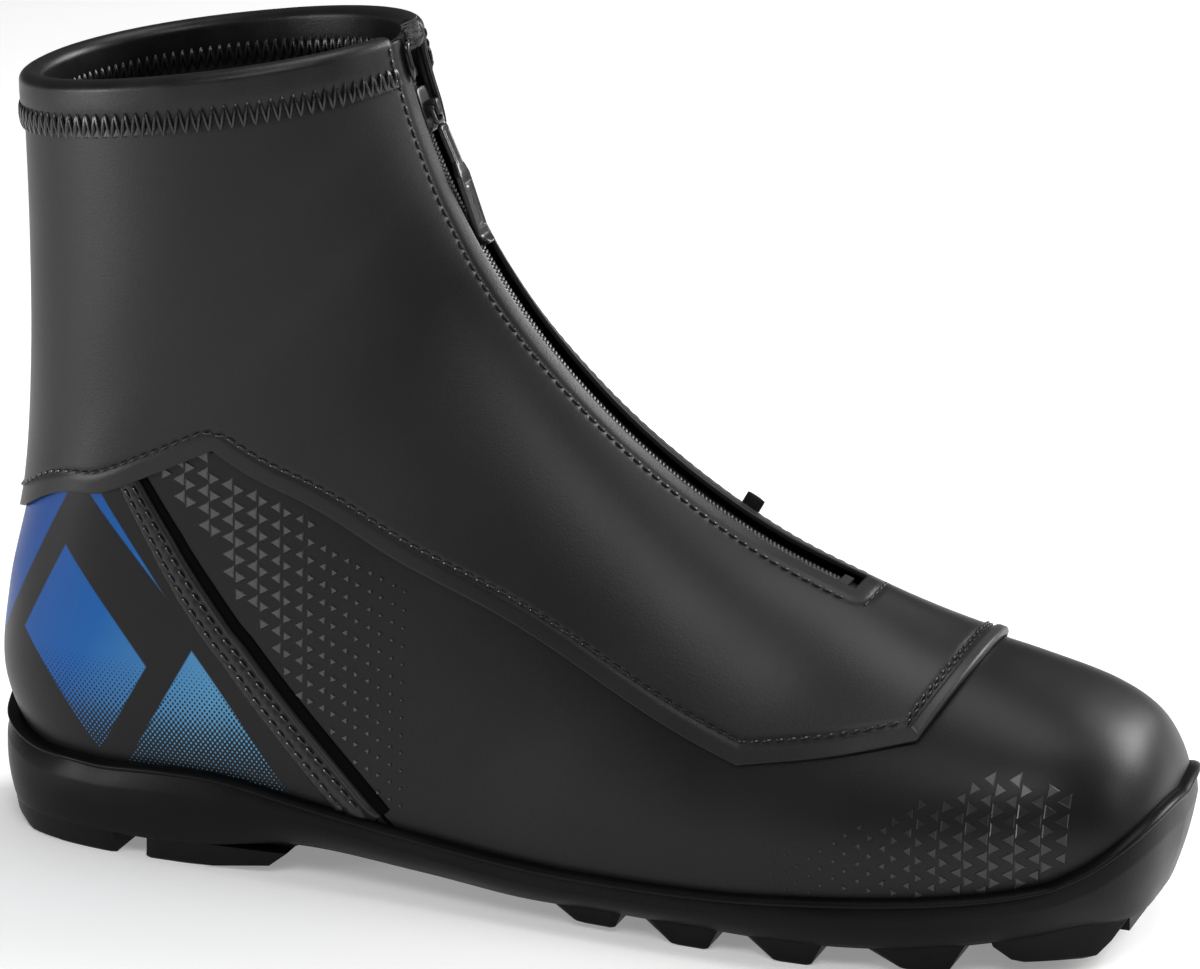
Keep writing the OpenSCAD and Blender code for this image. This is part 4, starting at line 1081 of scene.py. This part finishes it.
def pebble(centre, size, power, rings=24, around=32):
    """Closed rounded block: a superellipsoid of the given half sizes; power above 2 squares it up."""
    a = np.linspace(-np.pi / 2, np.pi / 2, rings)[1:-1, None]
    b = np.linspace(0, 2 * np.pi, around, endpoint=False)[None]

    def soft(x):
        return np.sign(x) * np.abs(x) ** (2 / power)
    body = xyz(soft(np.cos(a)) * soft(np.cos(b)), soft(np.cos(a)) * soft(np.sin(b)), soft(np.sin(a)))
    poles = np.array([[0, 0, -1.0], [0, 0, 1.0]])
    return capped(body * size + centre, poles * size + centre)


# Centre, half sizes and squareness of the body, its two side flanges, and the arch's legs and top.
SLIDER = [((0, 0, 0.55), (5.6, 3.15, 0.6), 5),
          ((0.3, -2.75, -0.2), (5.0, 0.4, 1.2), 5), ((0.3, 2.75, -0.2), (5.0, 0.4, 1.2), 5),
          ((0.1, -0.85, 2.2), (2.1, 0.28, 1.8), 4), ((0.1, 0.85, 2.2), (2.1, 0.28, 1.8), 4),
          ((0.1, 0, 3.75), (2.0, 1.1, 0.38), 4)]
points, faces = join(*(pebble(*part) for part in SLIDER))
add_piece("slider_casting", (by_zip(points, SLIDER_TURN), faces), black_paint, body="slider",
          stands_for=["zip_slider"])
arc = np.radians(np.linspace(0, 90, 7))
hook = xyz(2.8 + 1.0 * np.sin(arc), -2.0 + 1.0 * (1 - np.cos(arc)), 0)[1:]
outer_arm = np.concatenate([[[0, -1.9, 0], [0.5, -2.0, 0]], xyz(np.linspace(1.0, 2.6, 5), -2.0, 0),
                            hook])
wire = np.concatenate([outer_arm, xyz(3.8, np.linspace(-0.7, 0.7, 5), 0),
                       outer_arm[::-1] * [1, -1, 1]])
pin = xyz(0, np.linspace(-2.25, 2.25, 11), 0)
to_pull = dict(degrees=SLIDER_TURN, height=2.6, lift=4.5)
up = by_zip(np.array([0, 0, 1.0]), **to_pull) - by_zip(np.array([0, 0, 0.0]), **to_pull)
parts = [tube(by_zip(wire, **to_pull), unit(up), 0.55 * MM, 0.55 * MM, 14),
         tube(by_zip(pin, **to_pull), unit(up), 0.75 * MM, 0.75 * MM, 14)]
add_piece("wire_bail", join(*parts), black_paint, body="pull", stands_for=["pull_bail"])

x = np.concatenate([[4.5], np.linspace(4.6, 35.0, 150), [35.1]])
turn = np.linspace(0, 2 * np.pi, 96, endpoint=False)
half_wide = np.interp(x, [4.4, 4.9, 5.6, 14, 17.5, 32, 34, 35.1], [1.0, 2.0, 2.2, 2.15, 3.1, 3.1, 2.5, 1.6])
half_thick = np.interp(x, [4.4, 4.9, 14, 17, 33, 34.6, 35.1], [0.4, 0.72, 0.75, 0.92, 0.92, 1.5, 0.9])
y, z = (half[:, None] * np.sign(wave) * np.abs(wave) ** (2 / 5)
        for half, wave in ((half_wide, np.cos(turn)), (half_thick, np.sin(turn))))
z = z + np.interp(x, [18, 32.5, 34.2, 35.1], [0, -1.2, -0.75, -0.6])[:, None]
frame_dist = np.maximum(np.abs(x[:, None] - 25.2) - 5.6, np.abs(y) - 2.1)
recess = 0.30 * np.clip(-frame_dist / 0.25, 0, 1) - 0.22 * np.clip(-(frame_dist + 0.75) / 0.25, 0, 1)
rib = 0.18 * np.clip(1 - np.abs(np.abs(y) - 1.5) / 0.4, 0, 1) * ((x[:, None] > 6) & (x[:, None] < 15))
z = z - np.where(np.sin(turn) > 0.2, recess + rib, 0)
body = xyz(x[:, None], y, z)
points, faces = capped(body, body[[0, -1]].mean(1))
pull_rubber = finish("pull_rubber", (0.008, 0.008, 0.0083), (0.012, 0.012, 0.0123), 0.25, 1200, 0.00002)[0]
add_piece("rubber_pull", (by_zip(points, **to_pull), faces), pull_rubber, body="pull",
          stands_for=["pull_tab"], crease=60)

# ---------------------------------------------------------------- floor, light and camera
# A plain pale floor, large soft lamps, and a long lens 17.5 degrees above the sole, 20 degrees
# round from the outer side towards the toe.
floor = bpy.data.meshes.new("floor")
floor.from_pydata([(-6, -6, 0), (6, -6, 0), (6, 6, 0), (-6, 6, 0)], [], [(0, 1, 2, 3)])
ground = bpy.data.objects.new("floor", floor)
bpy.context.scene.collection.objects.link(ground)
paper = bpy.data.materials.new("paper")
paper.use_nodes = True
for key, value in (("Base Color", (0.86, 0.86, 0.86, 1)), ("Roughness", 0.9),
                   ("Emission Color", (1, 1, 1, 1)), ("Emission Strength", 0.26)):
    paper.node_tree.nodes["Principled BSDF"].inputs[key].default_value = value
floor.materials.append(paper)

world = bpy.data.worlds.new("studio")
bpy.context.scene.world = world
world.use_nodes = True
sky = world.node_tree
height = node(sky, "SeparateXYZ", {0: node(sky, "TexCoord").outputs["Generated"]}).outputs[2]
glow = remap(sky, height, 0.0, 0.95, 0.05, 0.2)
sky.links.new(glow, sky.nodes["Background"].inputs["Strength"])
sky.nodes["Background"].inputs["Color"].default_value = (1, 1, 1, 1)
bpy.context.scene.view_settings.view_transform = "Standard"


def lamp(name, place, aim, size, power):
    """Square soft lamp at a place, turned towards a point."""
    light = bpy.data.lights.new(name, "AREA")
    light.shape, light.size, light.size_y, light.energy = "RECTANGLE", size[0], size[1], power
    made = bpy.data.objects.new(name, light)
    bpy.context.scene.collection.objects.link(made)
    made.location = place
    made.rotation_mode = "QUATERNION"
    made.rotation_quaternion = (Vector(aim) - Vector(place)).to_track_quat("-Z", "Y")


lamp("toe", (0.85, 0.86, 0.74), (0.12, 0, 0.06), (0.8, 0.55), 22)
lamp("front", (0.3, -0.95, 1.1), (0.0, 0, 0.1), (0.7, 0.5), 6)
lamp("left", (-1.1, -0.8, 0.12), (-0.1, 0, 0.15), (0.4, 0.5), 11)
lamp("right", (1.3, 0.05, 0.62), (-0.03, 0, 0.17), (0.3, 0.5), 2.3)
lamp("top", (0.1, 0.15, 1.5), (0.0, 0, 0.1), (1.0, 0.7), 9)

view = bpy.data.cameras.new("camera")
view.lens, view.sensor_width = 178.3, 36
eye = bpy.data.objects.new("camera", view)
bpy.context.scene.collection.objects.link(eye)
azimuth, elevation, distance = np.radians(20), np.radians(17.5), 1.427
target = Vector((0.0049, 0, 0.0984))
back = Vector((np.sin(azimuth) * np.cos(elevation), -np.cos(azimuth) * np.cos(elevation),
               np.sin(elevation)))
eye.location = target + back * distance
eye.rotation_mode = "QUATERNION"
eye.rotation_quaternion = (-back).to_track_quat("-Z", "Y")
bpy.context.scene.camera = eye
